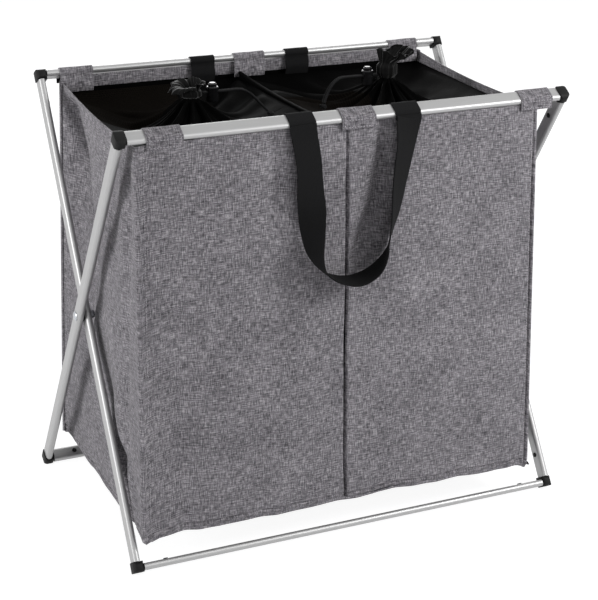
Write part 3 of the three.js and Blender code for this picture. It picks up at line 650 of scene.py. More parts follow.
def braided_cord(node, colours):
    """Braided polyester cord: black, with crossing strands drawn 1.5 mm apart to show, with painted shade in the
    grooves between them and a painted highlight on their crowns.
    """
    strands = [
        node("TexWave", {
            "Vector": flat_place(node, 210, 210, slant * math.radians(45)), "Scale": 1.0,
        }, "Fac", bands_direction="X")
        for slant in (1, -1)
    ]
    braid_height_and_shade = node("Math", strands, operation="MAXIMUM")
    # The colour follows the braid's height: painted shade in the grooves and a painted highlight on the strands' crowns
    colour = node("ValToRGB", (braid_height_and_shade,), stops=[
        (0.2, times(colours.cord, 0.4)), (0.9, times(colours.cord, 1.6)),
    ])
    close_material(
        node, colour, {"Roughness": 0.75, "Specular IOR Level": 0.15}, braid_height_and_shade, 0.0004,
    )


def sewing_thread(node, colours):
    """Sewing thread, twisted polyester, a shade lighter than the cloth that it holds."""
    place = node("TexCoord", out="Object")
    twist = node("TexNoise", {"Vector": place, "Scale": 1500, "Detail": 1})
    colour = node("ValToRGB", (twist,), stops=[
        (0.3, linear("#8E8A90")), (0.7, linear("#CBC7CC")),
    ])
    close_material(node, colour, {"Roughness": 0.6})


FINISHES = {
    "melange_weave": melange_weave, "satin_lining": satin_lining, "satin_and_net": satin_and_net,
    "sheer_organza": sheer_organza, "ribbed_webbing": ribbed_webbing,
    "hook_and_loop": hook_and_loop, "anodised_aluminium": anodised_aluminium,
    # A connector's mould is spark-eroded, so its nylon is matt; a lock's is polished, so it shines
    "matt_nylon": partial(moulded_plastic, "connector", 0.55, 0.2, 1800, 0.0002),
    "polished_acetal": partial(moulded_plastic, "lock", 0.16, 0.4, 400, 0.00002),
    "zinc_plated_steel": zinc_plated_steel, "braided_cord": braided_cord,
    "sewing_thread": sewing_thread,
}


def give(obj, *names):
    """Sets the piece's materials; each is made when it is first asked for."""
    obj.data.materials.clear()
    for name in names:
        if name not in bpy.data.materials:
            FINISHES[name](new_material(name), bpy.context.scene.hamper_colours)
        obj.data.materials.append(bpy.data.materials[name])


# Modelling


def select_only(*objects):
    """Selects these alone in object mode; the last one is active."""
    if bpy.context.object and bpy.context.object.mode != "OBJECT":
        bpy.ops.object.mode_set(mode="OBJECT")
    bpy.ops.object.select_all(action="DESELECT")
    for obj in objects:
        obj.select_set(True)
        bpy.context.view_layer.objects.active = obj


def start_piece(name):
    """Names the primitive that was just added."""
    obj = bpy.context.object
    obj.name = obj.data.name = name
    return obj


def modify(obj, kind, **settings):
    """Adds a modifier and applies it."""
    select_only(obj)
    modifier = obj.modifiers.new(kind.lower(), kind)
    for name, value in settings.items():
        setattr(modifier, name, value)
    bpy.ops.object.modifier_apply(modifier=modifier.name)


def smooth(obj, angle=40):
    select_only(obj)
    bpy.ops.object.shade_smooth_by_angle(angle=math.radians(angle))


def mend_normals(obj):
    select_only(obj)
    bpy.ops.object.mode_set(mode="EDIT")
    bpy.ops.mesh.select_all(action="SELECT")
    bpy.ops.mesh.remove_doubles(threshold=0.00001)
    bpy.ops.mesh.normals_make_consistent(inside=False)
    bpy.ops.object.mode_set(mode="OBJECT")


def settle(obj):
    """Puts the object's place into its mesh."""
    select_only(obj)
    bpy.ops.object.transform_apply(location=True, rotation=True, scale=True)


def stations(length, pitch, *closer):
    """Places along a length, with closer ones about each (place, reach, pitch)."""
    marks = [length * i / round(length / pitch) for i in range(round(length / pitch) + 1)]
    for place, reach, fine in closer:
        half = round(reach / fine)
        marks += [place + i * fine for i in range(-half, half + 1)]
    kept = [0.0]
    for mark in sorted(marks):
        if kept[-1] + 0.0003 < mark < length - 0.0003:
            kept.append(mark)
    return kept + [length]


def cloth_grid(name, us, vs, place):
    """A grid that is laid where place(u, v) says; its UV map holds the flat cloth's own metres."""
    select_only()
    columns, rows = len(us) - 1, len(vs) - 1
    bpy.ops.mesh.primitive_grid_add(x_subdivisions=columns, y_subdivisions=rows, size=1)
    obj = start_piece(name)
    flat = []
    for vertex in obj.data.vertices:
        u = us[round((vertex.co.x + 0.5) * columns)]
        v = vs[round((vertex.co.y + 0.5) * rows)]
        flat.append((u, v))
        vertex.co = place(u, v)
    for layer in list(obj.data.uv_layers):
        obj.data.uv_layers.remove(layer)
    layer = obj.data.uv_layers.new(name="flat")
    for loop in obj.data.loops:
        layer.data[loop.index].uv = flat[loop.vertex_index]
    obj.data.update()
    return obj


def tube_along(name, points, radius, sides, finish):
    """A closed tube along points, with a UV map in metres: round it, then along it."""
    points = [Vector(p) for p in points]
    verts, faces, uvs, lengths = [], [], [], [0.0]
    side = (points[1] - points[0]).orthogonal().normalized()
    for i, point in enumerate(points):
        way = (points[min(i + 1, len(points) - 1)] - points[max(i - 1, 0)]).normalized()
        side = (side - way * side.dot(way)).normalized()
        other = way.cross(side)
        if i:
            lengths.append(lengths[-1] + (point - points[i - 1]).length)
        for k in range(sides):
            angle = 2 * math.pi * k / sides
            verts.append(point + radius * (side * math.cos(angle) + other * math.sin(angle)))
    around = 2 * math.pi * radius
    for i, (start, end) in enumerate(zip(lengths, lengths[1:])):
        here, there = i * sides, (i + 1) * sides
        for k in range(sides):
            after = (k + 1) % sides
            faces.append((here + k, here + after, there + after, there + k))
            low, high = around * k / sides, around * (k + 1) / sides
            uvs.append([(low, start), (high, start), (high, end), (low, end)])
    last = (len(points) - 1) * sides
    faces += [tuple(range(sides - 1, -1, -1)), tuple(range(last, last + sides))]
    uvs += [[(0, 0)] * sides, [(0, lengths[-1])] * sides]
    obj = mesh_piece(name, verts, faces, uvs)
    smooth(obj, 60)
    give(obj, finish)
    return obj


def mesh_piece(name, verts, faces, uvs=None):
    mesh = bpy.data.meshes.new(name)
    mesh.from_pydata([tuple(v) for v in verts], [], faces)
    if uvs:
        layer = mesh.uv_layers.new(name="flat")
        flat = [uv for face in uvs for uv in face]
        for item, uv in zip(layer.data, flat):
            item.uv = uv
    mesh.validate()
    mesh.update()
    obj = bpy.data.objects.new(name, mesh)
    bpy.context.scene.collection.objects.link(obj)
    return obj


def turned(name, profile, centre):
    """Spins a closed profile of (radius, along) about the X axis, and moves it to its centre."""
    select_only()
    bpy.ops.mesh.primitive_circle_add(
        vertices=len(profile), radius=0.01, fill_type="NOTHING",
    )
    obj = start_piece(name)
    for vertex, (radius, along) in zip(obj.data.vertices, profile):
        vertex.co = (along, radius, 0)
    bpy.ops.object.mode_set(mode="EDIT")
    bpy.ops.mesh.select_all(action="SELECT")
    bpy.ops.mesh.spin(steps=48, angle=2 * math.pi, center=(0, 0, 0), axis=(1, 0, 0))
    bpy.ops.mesh.select_all(action="SELECT")
    bpy.ops.mesh.remove_doubles(threshold=0.00002)
    bpy.ops.mesh.dissolve_degenerate(threshold=0.00001)
    bpy.ops.mesh.select_all(action="SELECT")
    bpy.ops.mesh.normals_make_consistent(inside=False)
    bpy.ops.object.mode_set(mode="OBJECT")
    obj.location = centre
    settle(obj)
    smooth(obj, 35)
    return obj


def stitching(name, rows, pitch, thick):
    """Dashes of thread along rows, each a path and the cloth's outward directions along it."""
    verts, faces = [], []
    half = 0.34 * pitch
    for path, outwards in rows:
        path = [Vector(p) for p in path]
        length, marks = 0.0, [0.0]
        for a, b in zip(path, path[1:]):
            length += (b - a).length
            marks.append(length)
        at, i = pitch / 2, 0
        while at < length:
            while marks[i + 1] < at:
                i += 1
            share = (at - marks[i]) / max(marks[i + 1] - marks[i], 1e-9)
            middle = path[i].lerp(path[i + 1], share)
            out = Vector(outwards[i]).lerp(Vector(outwards[i + 1]), share).normalized()
            way = (path[i + 1] - path[i]).normalized()
            side = way.cross(out).normalized()
            base = len(verts)
            for along, lift, wide in ((-1, -0.6, 0), (-0.6, 0.9, 1), (0.6, 0.9, 1), (1, -0.6, 0)):
                centre = middle + way * (along * half) + out * (lift * thick)
                if wide:
                    verts += [centre + side * thick, centre + out * thick * 0.7]
                    verts += [centre - side * thick, centre - out * thick]
                else:
                    verts.append(centre)
            a, r, s, z = base, base + 1, base + 5, base + 9
            for k in range(4):
                n = (k + 1) % 4
                faces += [(a, r + k, r + n), (r + k, s + k, s + n, r + n), (z, s + n, s + k)]
            at += pitch
    obj = mesh_piece(name, verts, faces)
    mend_normals(obj)
    smooth(obj, 60)
    give(obj, "sewing_thread")
    return obj


def wall_of(obj, thickness, lining_below=None):
    """Gives a sheet its thickness inwards; its lining ends below a height."""
    modify(
        obj, "SOLIDIFY", thickness=thickness, offset=-1, material_offset=1, use_even_offset=False,
    )
    if lining_below is not None:
        count = len(obj.data.materials)
        for face in obj.data.polygons:
            inside = face.material_index == min(1, count - 1)
            if inside and face.center.z > lining_below(face.center):
                face.material_index = 0
    smooth(obj, 50)


# Frame


def select_where(obj, kind, test):
    """Selects the edges or faces of an object in edit mode that pass a test."""
    bpy.ops.mesh.select_all(action="DESELECT")
    for item in getattr(bmesh.from_edit_mesh(obj.data), kind):
        item.select = test(item)
    bmesh.update_edit_mesh(obj.data)


def tube(name, length, centre, tilt, nub_side, leg):
    """A flat oval tube of that length with its holes, laid along X or up a leg."""
    select_only()
    bpy.ops.mesh.primitive_cube_add(size=1)
    obj = start_piece(name)
    obj.scale = (length, TUBE_WIDE, TUBE_NARROW)
    settle(obj)
    bpy.ops.object.mode_set(mode="EDIT")
    select_where(obj, "edges", lambda edge: (
        abs(edge.verts[0].co.x - edge.verts[1].co.x) > length / 2
    ))
    bpy.ops.mesh.bevel(offset=TUBE_NARROW / 2 * 0.999, segments=8, affect="EDGES")
    select_where(obj, "faces", lambda face: abs(face.normal.x) > 0.9)
    bpy.ops.mesh.delete(type="FACE")
    bpy.ops.object.mode_set(mode="OBJECT")
    modify(obj, "SOLIDIFY", thickness=TUBE_WALL, offset=-1)
    nub = length / 2 + TUBE_END_GAP - NUB_FROM_CORNER
    holes = [(-nub, NUB_HOLE, nub_side), (nub, NUB_HOLE, nub_side)]
    if leg:
        holes += [(0, PIVOT_HOLE, 1), (0, PIVOT_HOLE, -1)]
    for at, radius, side in holes:
        select_only()
        bpy.ops.mesh.primitive_cylinder_add(
            vertices=24, radius=radius, depth=TUBE_NARROW,
            location=(at, 0, side * TUBE_NARROW / 2),
        )
        drill = bpy.context.object
        settle(drill)
        modify(obj, "BOOLEAN", object=drill, operation="DIFFERENCE", solver="EXACT")
        bpy.data.objects.remove(drill)
    layer = obj.data.uv_layers.active or obj.data.uv_layers.new(name="flat")
    layer.name = "flat"
    for loop in obj.data.loops:
        place = obj.data.vertices[loop.vertex_index].co
        layer.data[loop.index].uv = (place.x, place.y + (0.05 if place.z > 0 else 0))
    turn = Matrix.Rotation(tilt, 4, "X")
    if leg:
        # Along X becomes up the leg, and the narrow way becomes X
        turn = turn @ Matrix(((0, 0, 1, 0), (0, 1, 0, 0), (1, 0, 0, 0), (0, 0, 0, 1)))
    obj.data.transform(Matrix.Translation(centre) @ turn)
    if turn.determinant() < 0:
        obj.data.flip_normals()
    smooth(obj, 28)
    give(obj, "anodised_aluminium")
    return obj


def bevelled_copy(node, width, *finishes):
    """A copy of a CAD node's mesh, joined up, with its sharp edges rounded."""
    source = frame["nodes"][node]
    obj = bpy.data.objects.new(node + "_moulding", source.data.copy())
    bpy.context.scene.collection.objects.link(obj)
    select_only(obj)
    bpy.ops.object.mode_set(mode="EDIT")
    bpy.ops.mesh.select_all(action="SELECT")
    bpy.ops.mesh.remove_doubles(threshold=0.00002)
    bpy.ops.mesh.dissolve_limited(angle_limit=math.radians(1))
    bpy.ops.object.mode_set(mode="OBJECT")
    if width:
        limit = math.radians(30)
        modify(obj, "BEVEL", width=width, segments=3, limit_method="ANGLE", angle_limit=limit)
    for layer in list(obj.data.uv_layers):
        obj.data.uv_layers.remove(layer)
    smooth(obj, 50)
    give(obj, *finishes)
    return obj


# Bag


def edge_wave(along, seed):
    """How far the bottom edge wanders up or down."""
    wave = 0.0036 * ripple(along, 0, 0.06, seed) + 0.0012 * ripple(along, 0, 0.02, seed + 1)
    return wave + (0.006 * bell(along + 0.235, 0.022) if seed == 1 else 0)


def corner_drop(x, y):
    """The bottom corners hang a little lower where the seams meet."""
    away = math.hypot(SIDE - abs(x), FACE - abs(y))
    return -0.0075 * bell(away, 0.012)


def bottom_z(x, y):
    """Height of the bag's bottom at a point of its edge or inside it."""
    near = {
        "front": bell(y + FACE, 0.025), "back": bell(y - FACE, 0.025),
        "left": bell(x + SIDE, 0.025), "right": bell(x - SIDE, 0.025),
    }
    calm = 1 - bell(math.hypot(SIDE - abs(x), FACE - abs(y)), 0.03)
    wave = near["front"] * edge_wave(x, 1) + near["back"] * edge_wave(x, 3)
    wave += near["left"] * edge_wave(y, 5) + near["right"] * edge_wave(y, 7)
    half = SIDE / 2
    inner = (1 - min(1, abs(abs(x) - half) / half) ** 2) * (1 - (y / FACE) ** 2)
    return BAG_LOW + wave * calm + corner_drop(x, y) - 0.004 * max(0, inner)


def rim_z(y):
    return RIM_Z - RIM_SAG * (1 - (y / FACE) ** 2)


def wall_x(side, y, z):
    """x of a side wall at that depth and height."""
    high = (z - BAG_LOW) / (RIM_Z - BAG_LOW)
    front, rear = (lerp(*WALLS[side][end], high) for end in ("front", "rear"))
    return lerp(front, rear, (y + FACE) / (2 * FACE))


def taper(x, y, z):
    """x of the hanging bag for an x of the plain box that it is sewn as."""
    seam = SEAM_X + SEAM_LEAN * (0.31 - z) / (RIM_Z - BAG_LOW)
    if x < SEAM_X:
        return lerp(wall_x("left", y, z), seam, (x + SIDE) / (SEAM_X + SIDE))
    return lerp(seam, wall_x("right", y, z), (x - SEAM_X) / (SIDE - SEAM_X))


def sewn_seams(x):
    """The groove and raised edges of the middle seam, and the welts beside the upright edges."""
    edge_seam = bpy.context.scene.hamper_sizes.edge_seam
    out = -0.0072 * bell(x - SEAM_X, 0.0015) + 0.0012 * bell(abs(x - SEAM_X) - 0.005, 0.003)
    out -= 0.0026 * bell(SIDE - x - edge_seam, 0.0012)
    return out + 0.0011 * bell(SIDE - abs(x) - 0.0035, 0.0025)


def under_strap(x, z):
    """1 where the strap hangs over the cloth, and 0 away from it."""
    return smooth_step(0.13, 0.105, abs(x - STRAP_MIDDLE)) * smooth_step(0.33, 0.37, z)


def front_relief(x, z, low):
    """How far the front stands out from its plane."""
    edge = smooth_step(0, 0.05, SIDE - abs(x))
    out = (0.0066 * ripple(x, z, 0.15, 11) + 0.0022 * ripple(x, z, 0.055, 12)) * edge
    pull = max(bell(x - middle, 0.05) for middle in TAB_MIDDLES["front"].values())
    out -= 0.003 * (1 - pull) * smooth_step(0.40, 0.50, z) * edge
    # The strap's ends pull a fold into the cloth beside each of them
    down = STRAP_FOLD_TOP - z
    fold_x = 0.044 + 0.0225 * down - 1.6 * down ** 2
    out -= 0.0125 * bell(x - fold_x, 0.0135) * smooth_step(0.35, 0.43, z)
    out -= 0.0060 * bell(x + 0.103 + 0.05 * down, 0.012) * smooth_step(0.40, 0.48, z)
    out += 0.0022 * bell(z - low - 0.012, 0.02) * edge
    out = min(out, lerp(0.02, 0.0006, under_strap(x, z)))
    # Near the rim the cloth stays in front of what is sewn inside it
    rim = smooth_step(0.46, 0.52, z)
    free = 0.009 * bell(x - 0.0400, 0.009) + 0.005 * bell(x + 0.1070, 0.007)
    return max(out, lerp(-0.016, -0.0008 - free, rim)) + sewn_seams(x) * lerp(1, 0.5, rim)


def left_relief(y, z):
    """How far the left side stands out, with a deep fold from the rear tab and soft ones."""
    edge = smooth_step(0, 0.04, FACE - abs(y))
    calm = smooth_step(0.552, 0.50, z) * smooth_step(0.06, 0.13, z)
    down = TAB_FOLD_TOP - z
    fold_y = 0.08 - 1.1 * down + 3.3 * down ** 2
    behind = smooth_step(fold_y - 0.008, fold_y + 0.014, y)
    depth = 0.023 * smooth_step(0.24, 0.40, z) * smooth_step(0.556, 0.53, z)
    out = -depth * behind * smooth_step(0, 0.06, FACE - y)
    crease_y = -0.0892 - 0.557 * (0.1546 - z)
    low = smooth_step(0.24, 0.12, z) * smooth_step(0.045, 0.06, z)
    out -= 0.010 * bell(y - crease_y, 0.011) * low
    out += 0.004 * bell(y - crease_y + 0.024, 0.012) * low
    for height, middle, slope, reach in LEFT_FOLDS:
        out += height * bell(y - middle - slope * (0.3 - z), reach) * calm
    out += 0.0055 * ripple(y, z * 0.4, 0.06, 21) * calm * edge
    out += 0.0014 * ripple(y, z, 0.04, 22) * calm * edge
    return min(out * edge, 0.004)


def right_relief(y, z):
    edge = smooth_step(0, 0.04, FACE - abs(y))
    calm = smooth_step(0.552, 0.50, z) * smooth_step(0.06, 0.13, z)
    out = -0.007 * bell(y - (0.07 + 0.3 * (z - 0.3)), 0.028) + 0.003 * bell(y + 0.05, 0.035)
    out += 0.004 * ripple(y, z * 0.45, 0.08, 31) + 0.0014 * ripple(y, z, 0.04, 32)
    return min(out * edge * calm, 0.004)


def back_rim(x):
    """Height of the back's top edge, just under the rail's inner edge."""
    return RIM_Z + 0.0068 * smooth_step(0, 0.01, SIDE - abs(x))


def back_inset(x, z):
    """How far the back's top comes in under the rail."""
    return 0.0131 * smooth_step(0.515, 0.562, z) * smooth_step(0, 0.01, SIDE - abs(x))


def back_inside(z):
    """How far back the pieces sewn in the bag reach at a height."""
    return min(SEWN_IN, FACE - 0.0036 - back_inset(0, z))


def back_relief(x, z):
    """How far the back stands out; its top edge comes in under the rail."""
    edge = smooth_step(0, 0.05, SIDE - abs(x))
    out = 0.003 * ripple(x, z, 0.14, 41) * edge + 0.0011 * ripple(x, z, 0.05, 42) * edge
    out = min(out, lerp(0.01, -0.0012, under_strap(-x, z)))
    rim = smooth_step(0.50, 0.545, z)
    return lerp(out, 0, rim) - back_inset(x, z) + sewn_seams(x) * lerp(1, 0.3, rim)


CORNER_ROUND = 0.005
CORNER_RUN = math.pi / 2 * CORNER_ROUND
SIDE_RUN = 2 * FACE - CORNER_ROUND
FRONT_RUN = 2 * SIDE - 2 * CORNER_ROUND
SHELL_RUN = 2 * (SIDE_RUN + CORNER_RUN) + FRONT_RUN
WRAP = 0.008
BACK_RUN = 2 * (WRAP + CORNER_RUN) + FRONT_RUN
BACK_PROUD = 0.0016
WALL_HEIGHT = RIM_Z - BAG_LOW


def round_bag(u, side_run):
    """x, y and the way out, for u forwards on the left side, along the front and back again."""
    run = 2 * (side_run + CORNER_RUN) + FRONT_RUN
    way = 1 if u <= run / 2 else -1
    along = min(u, run - u) - side_run
    angle = min(max(along, 0), CORNER_RUN) / CORNER_ROUND
    out = Vector((-way * math.cos(angle), -math.sin(angle), 0))
    x = way * (max(along - CORNER_RUN, 0) - SIDE + CORNER_ROUND * (1 - math.cos(angle)))
    return x, CORNER_ROUND * (1 - math.sin(angle)) - FACE - min(along, 0), out


def shell_place(u, v):
    """A point of the bag's side walls and front."""
    x, y, out = round_bag(u, SIDE_RUN)
    low, high = bottom_z(x, y), rim_z(y)
    if abs(out.y) > 0.9:
        high += 0.0022 * smooth_step(0, 0.02, SIDE - abs(x))
    z = low + v / WALL_HEIGHT * (high - low)
    if abs(out.y) > 0.9:
        relief = front_relief(x, z, low)
    else:
        relief = left_relief(y, z) if x < 0 else right_relief(y, z)
    # The hem is sewn down a little above the piping
    tuck = 0.003 * bell(z - low, 0.004) + 0.0024 * bell(z - low - HEM_SEAM, 0.0012)
    return Vector((taper(x, y, z), y, z)) + out * (relief - tuck)


def back_place(u, v):
    """A point of the back, from right to left; its edges lap over the sides."""
    x, y, out = round_bag(u, WRAP)
    x, y, out = -x, -y, -out
    low = bottom_z(x, y)
    z = low + v / WALL_HEIGHT * (back_rim(x) - low)
    relief = back_relief(x, z) if abs(out.y) > 0.9 else 0
    return Vector((taper(x, y, z), y, z)) + out * (relief + BACK_PROUD)


def over_rail(thick, front_y, front_hang, inside_hang, row):
    """Points in (y, z) from in front of a panel over its top rail to the panel's inside."""
    away = TUBE_NARROW / 2 + TOUCH + thick / 2
    front, rear = (
        Vector((-RAIL_Y + reach * math.cos(LEAN), TOP_RAIL_Z + reach * math.sin(LEAN)))
        for reach in (-RAIL_STRAIGHT, RAIL_STRAIGHT)
    )
    points = []
    low = TOP_RAIL_Z - front_hang
    count = max(2, round(front_hang / 0.003))
    for i in range(count):
        share = i / count
        y = lerp(front_y, front.x - away, share ** 2)
        points.append(Vector((y, lerp(low, front.y, share))))
    top = math.pi / 2 + LEAN
    for middle, start, end in ((front, math.pi, top), (rear, top, -LEAN)):
        for i in range(11):
            angle = lerp(start, end, i / 10)
            points.append(middle + away * Vector((math.cos(angle), math.sin(angle))))
    # The back's inside comes in under its rail, and what is sewn to it with it
    inside = TOUCH + thick / 2 - TAB_SEWN

    def inner(z):
        return Vector((inside + (back_inset(0, z) if row == "rear" else 0), z))

    bottom = TOP_RAIL_Z - inside_hang
    knee = inner(max(RIM_Z - 0.005, bottom + 0.001))
    for share in (0.35, 0.35, 0.35, 1):
        points.append(points[-1].lerp(knee, share))
    count = max(2, round((knee.y - bottom) / 0.003))
    return points + [inner(lerp(knee.y, bottom, i / count)) for i in range(1, count + 1)]


def running_lengths(points):
    """How far along its points a path has come at each of them."""
    lengths = [0.0]
    for a, b in zip(points, points[1:]):
        lengths.append(lengths[-1] + (b - a).length)
    return lengths


def wrapped_strip(name, path, from_x, width, thick, turn, waviness, *finishes):
    """A strip of cloth over a rail; the rear ones are made in front and turned half round."""
    lengths = running_lengths(path)
    at = {round(length, 7): i for i, length in enumerate(lengths)}

    def place(u, v):
        i = at[round(v, 7)]
        way = (path[min(i + 1, len(path) - 1)] - path[max(i - 1, 0)]).normalized()
        out = Vector((-way.y, way.x))
        point = path[i] + out * (thick / 2 + waviness * ripple(u, v, 0.02, from_x * 50))
        return Vector((from_x + u, point.x, point.y))

    obj = cloth_grid(name, [width * i / 12 for i in range(13)], lengths, place)
    obj.data.transform(Matrix.Rotation(turn, 4, "Z"))
    give(obj, *finishes)
    wall_of(obj, thick)
    return obj


def catmull(stops, t):
    """A smooth curve through tuples of numbers, t from 0 to 1."""
    spans = len(stops) - 1
    at = min(spans - 1e-9, max(0.0, t * spans))
    i, s = int(at), at - int(at)
    p0, p1, p2 = stops[max(i - 1, 0)], stops[i], stops[i + 1]
    p3 = stops[min(i + 2, spans)]
    return [
        0.5 * (
            2 * b + (c - a) * s + (2 * a - 5 * b + 4 * c - d) * s * s
            + (3 * b - a - 3 * c + d) * s ** 3
        )
        for a, b, c, d in zip(p0, p1, p2, p3)
    ]


def strap_place(steps):
    """Edge points and across directions of the front strap's loop, at even steps."""
    panel_y = -FACE - TOUCH - STRAP_THICK / 2
    start = TOP_RAIL_Z - STRAP_HANG
    stops = [(
        STRAP_MIDDLE + across * STRAP_LOOP_WIDTH, lerp(panel_y, STRAP_RAIL_Y, proud),
        start - drop * STRAP_DROP, turn,
    ) for across, drop, proud, turn in STRAP_ROUTE]
    rows = []
    for i in range(steps + 1):
        t = i / steps
        x, y, z, turn = catmull(stops, t)
        ahead, behind = catmull(stops, min(1, t + 0.002)), catmull(stops, max(0, t - 0.002))
        tangent = Vector([a - b for a, b in zip(ahead[:3], behind)]).normalized()
        level = Vector((-tangent.z, 0, tangent.x)).normalized()
        angle = turn * math.pi / 2
        across = level * math.cos(angle) + Vector((0, -1, 0)) * math.sin(angle)
        rows.append((Vector((x, y, z)), across, tangent))
    return rows


# Covers


def cover_edge(side, angle):
    """Points of the bin's wall and of the neck's hole in that direction from the middle."""
    neck = NECKS[side]
    low = -COVER_SIDE if side == "left" else SEAM_X + COVER_GAP
    high = SEAM_X - COVER_GAP if side == "left" else COVER_SIDE
    half_x, half_y = (high - low) / 2, SEWN_IN - 0.0012
    x, y = math.cos(angle), math.sin(angle)
    reach = min(half_x / max(abs(x), 1e-6), half_y / max(abs(y), 1e-6))
    wall = Vector(((low + high) / 2 + x * reach, y * reach))
    # The front falls in beside the strap, and the cover's edge with it
    wall.y = max(wall.y, 0.0024 - FACE - front_relief(wall.x, COVER_Z, BAG_LOW))
    wall.y = min(wall.y, back_inside(COVER_Z))
    # The walls narrow upwards, and the covers with them
    way, relief = (-1, left_relief) if side == "left" else (1, right_relief)
    outer = wall_x(side, wall.y, COVER_Z) + way * (relief(wall.y, COVER_Z) - SIDE + COVER_SIDE)
    share = abs(wall.x - SEAM_X) / abs((low if side == "left" else high) - SEAM_X)
    wall.x = lerp(SEAM_X, outer, share)
    hole = Vector((neck["x"] + x * NECK_HOLE, neck["y"] + y * NECK_HOLE))
    return wall, hole


def cover_point(side, angle, share):
    """A point of a cover: share is 0 at the wall and 1 at the neck."""
    wall, hole = cover_edge(side, angle)
    flat = wall.lerp(hole, share)
    seed = 51 if side == "left" else 61
    z = COVER_Z - COVER_SAG * math.sin(math.pi * share) + share ** 5 * (NECK_Z - COVER_Z)
    near = smooth_step(0.25, 0.8, share) * smooth_step(1.0, 0.93, share)
    wander = 2.2 * ripple(flat.x, flat.y, 0.08, seed)
    sway = 2 * ripple(math.cos(angle), math.sin(angle), 0.6, seed)
    z += 0.0042 * near * math.sin(13 * angle + wander + sway)
    z += 0.0022 * near * math.sin(23 * angle + 3 * wander)
    calm = smooth_step(0, 0.12, share) * smooth_step(1, 0.7, share)
    # Slack cloth lies in long folds towards the divider's rear end
    slack = bell(angle - (0.9 if side == "left" else 2.4), 0.55) * smooth_step(0, 0.1, share)
    z += 0.006 * slack * smooth_step(1.0, 0.6, share) * math.sin(17 * angle + wander)
    z += 0.006 * calm * ripple(flat.x, flat.y, 0.11, seed + 1)
    z += 0.0025 * calm * ripple(flat.x, flat.y, 0.04, seed + 2)
    return Vector((flat.x, flat.y, z))


def net_zone(side, x, y):
    """1 where a cover is net and 0 where it is satin, with a smooth change between."""
    if side == "left":
        line = (y - 0.01) + 0.25 * (x + 0.15)
        return smooth_step(-0.01, 0.01, line) * smooth_step(-0.105, -0.125, x)
    inside = smooth_step(0.065, 0.045, y - 0.2 * (x - 0.02))
    return inside * smooth_step(0.115, 0.095, x)


# Operators


def carry(piece, body, slot, *nodes, keep=None, fold_y=-FACE):
    """Rides a piece on a body, shows it for CAD nodes and folds it with the frame."""
    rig.ride(piece, body)
    if nodes:
        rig.replaces(piece, *nodes)
    if keep:
        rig.squash(piece, "frame_fold", axis=(0, 1, 0), anchor=(0, fold_y, 0), keep=keep)
    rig.slot(piece, slot)


def loop_of(node):
    """The loop of the frame that a rail, a leg or a connector belongs to."""
    parts = ("front_top", "rear_bottom", "left_outer", "right_inner")
    return "frame_a" if any(part in node for part in parts) else "frame_b"


class HAMPER_OT_stage(bpy.types.Operator):
    """Makes the camera, the floor, the lights and the world"""

    bl_idname = "hamper.stage"
    bl_label = "Stage"

    def execute(self, context):
        scene = context.scene
        scene.view_settings.view_transform = "Standard"
        self.camera(scene)
        select_only()
        bpy.ops.mesh.primitive_plane_add(size=40)
        floor = start_piece("floor")
        floor.data.materials.append(self.paper())
        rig.stage(floor)
        for name, place, target, size, watts in SOFTBOXES:
            light = bpy.data.lights.new(name, "AREA")
            light.shape, light.size, light.energy = "SQUARE", size, watts
            lamp = bpy.data.objects.new(name, light)
            lamp.visible_camera = False
            lamp.location = place
            way = Vector(target) - Vector(place)
            lamp.rotation_euler = way.to_track_quat("-Z", "Y").to_euler()
            scene.collection.objects.link(lamp)
        self.world(scene)
        return {"FINISHED"}

    def camera(self, scene):
        level = math.cos(CAMERA_ELEVATION)
        back = Vector((
            math.sin(CAMERA_AZIMUTH) * level, -math.cos(CAMERA_AZIMUTH) * level,
            math.sin(CAMERA_ELEVATION),
        ))
        right = (-back).cross(Vector((0, 0, 1))).normalized()
        up = right.cross(-back)
        cos, sin = math.cos(CAMERA_ROLL), math.sin(CAMERA_ROLL)
        axes = Matrix((right * cos + up * sin, up * cos - right * sin, back)).transposed()
        camera = bpy.data.objects.new("camera", bpy.data.cameras.new("camera"))
        scene.collection.objects.link(camera)
        place = Matrix.Translation(CAMERA_TARGET + back * CAMERA_DISTANCE)
        camera.matrix_world = place @ axes.to_4x4()
        camera.data.sensor_width = CAMERA_SENSOR
        camera.data.lens = FOCAL_PIXELS * CAMERA_SENSOR / IMAGE_SIDE
        camera.data.shift_y = -AXIS_ABOVE_MIDDLE / IMAGE_SIDE
        scene.camera = camera

    def seen_directly(self, node):
        """1 for rays from the camera, off gloss or through glass, and 0 for the rest."""
        seen = 0
        for ray in ("Camera", "Transmission", "Glossy"):
            ray = node("LightPath", out=f"Is {ray} Ray")
            seen = node("Math", (ray, seen), operation="MAXIMUM")
        return seen

    def paper(self):
        """Seamless paper: white to the camera, and a pale grey that keeps the shadow."""
        node = new_material("seamless_paper")
        paper = node("BsdfDiffuse", {"Color": linear("#DCDCDE")})
        thin = node("BsdfDiffuse", {"Color": linear("#8C8C8E")})
        white = node("Emission", {"Color": linear("#FFFFFF"), "Strength": 0.91})
        both = node("AddShader", (thin, white))
        shader = node("MixShader", (self.seen_directly(node), paper, both))
        node("OutputMaterial", {"Surface": shader})
        return bpy.data.materials["seamless_paper"]

    def world(self, scene):
        scene.world = bpy.data.worlds.new("studio")
        scene.world.use_nodes = True
        scene.world.node_tree.nodes.clear()
        node = partial(add_node, scene.world.node_tree)
        seen = self.seen_directly(node)
        strength = node("Math", (seen, 0.63, 0.37), operation="MULTIPLY_ADD")
        back = node("Background", {"Color": linear("#FFFFFF"), "Strength": strength})
        node("OutputWorld", {"Surface": back})


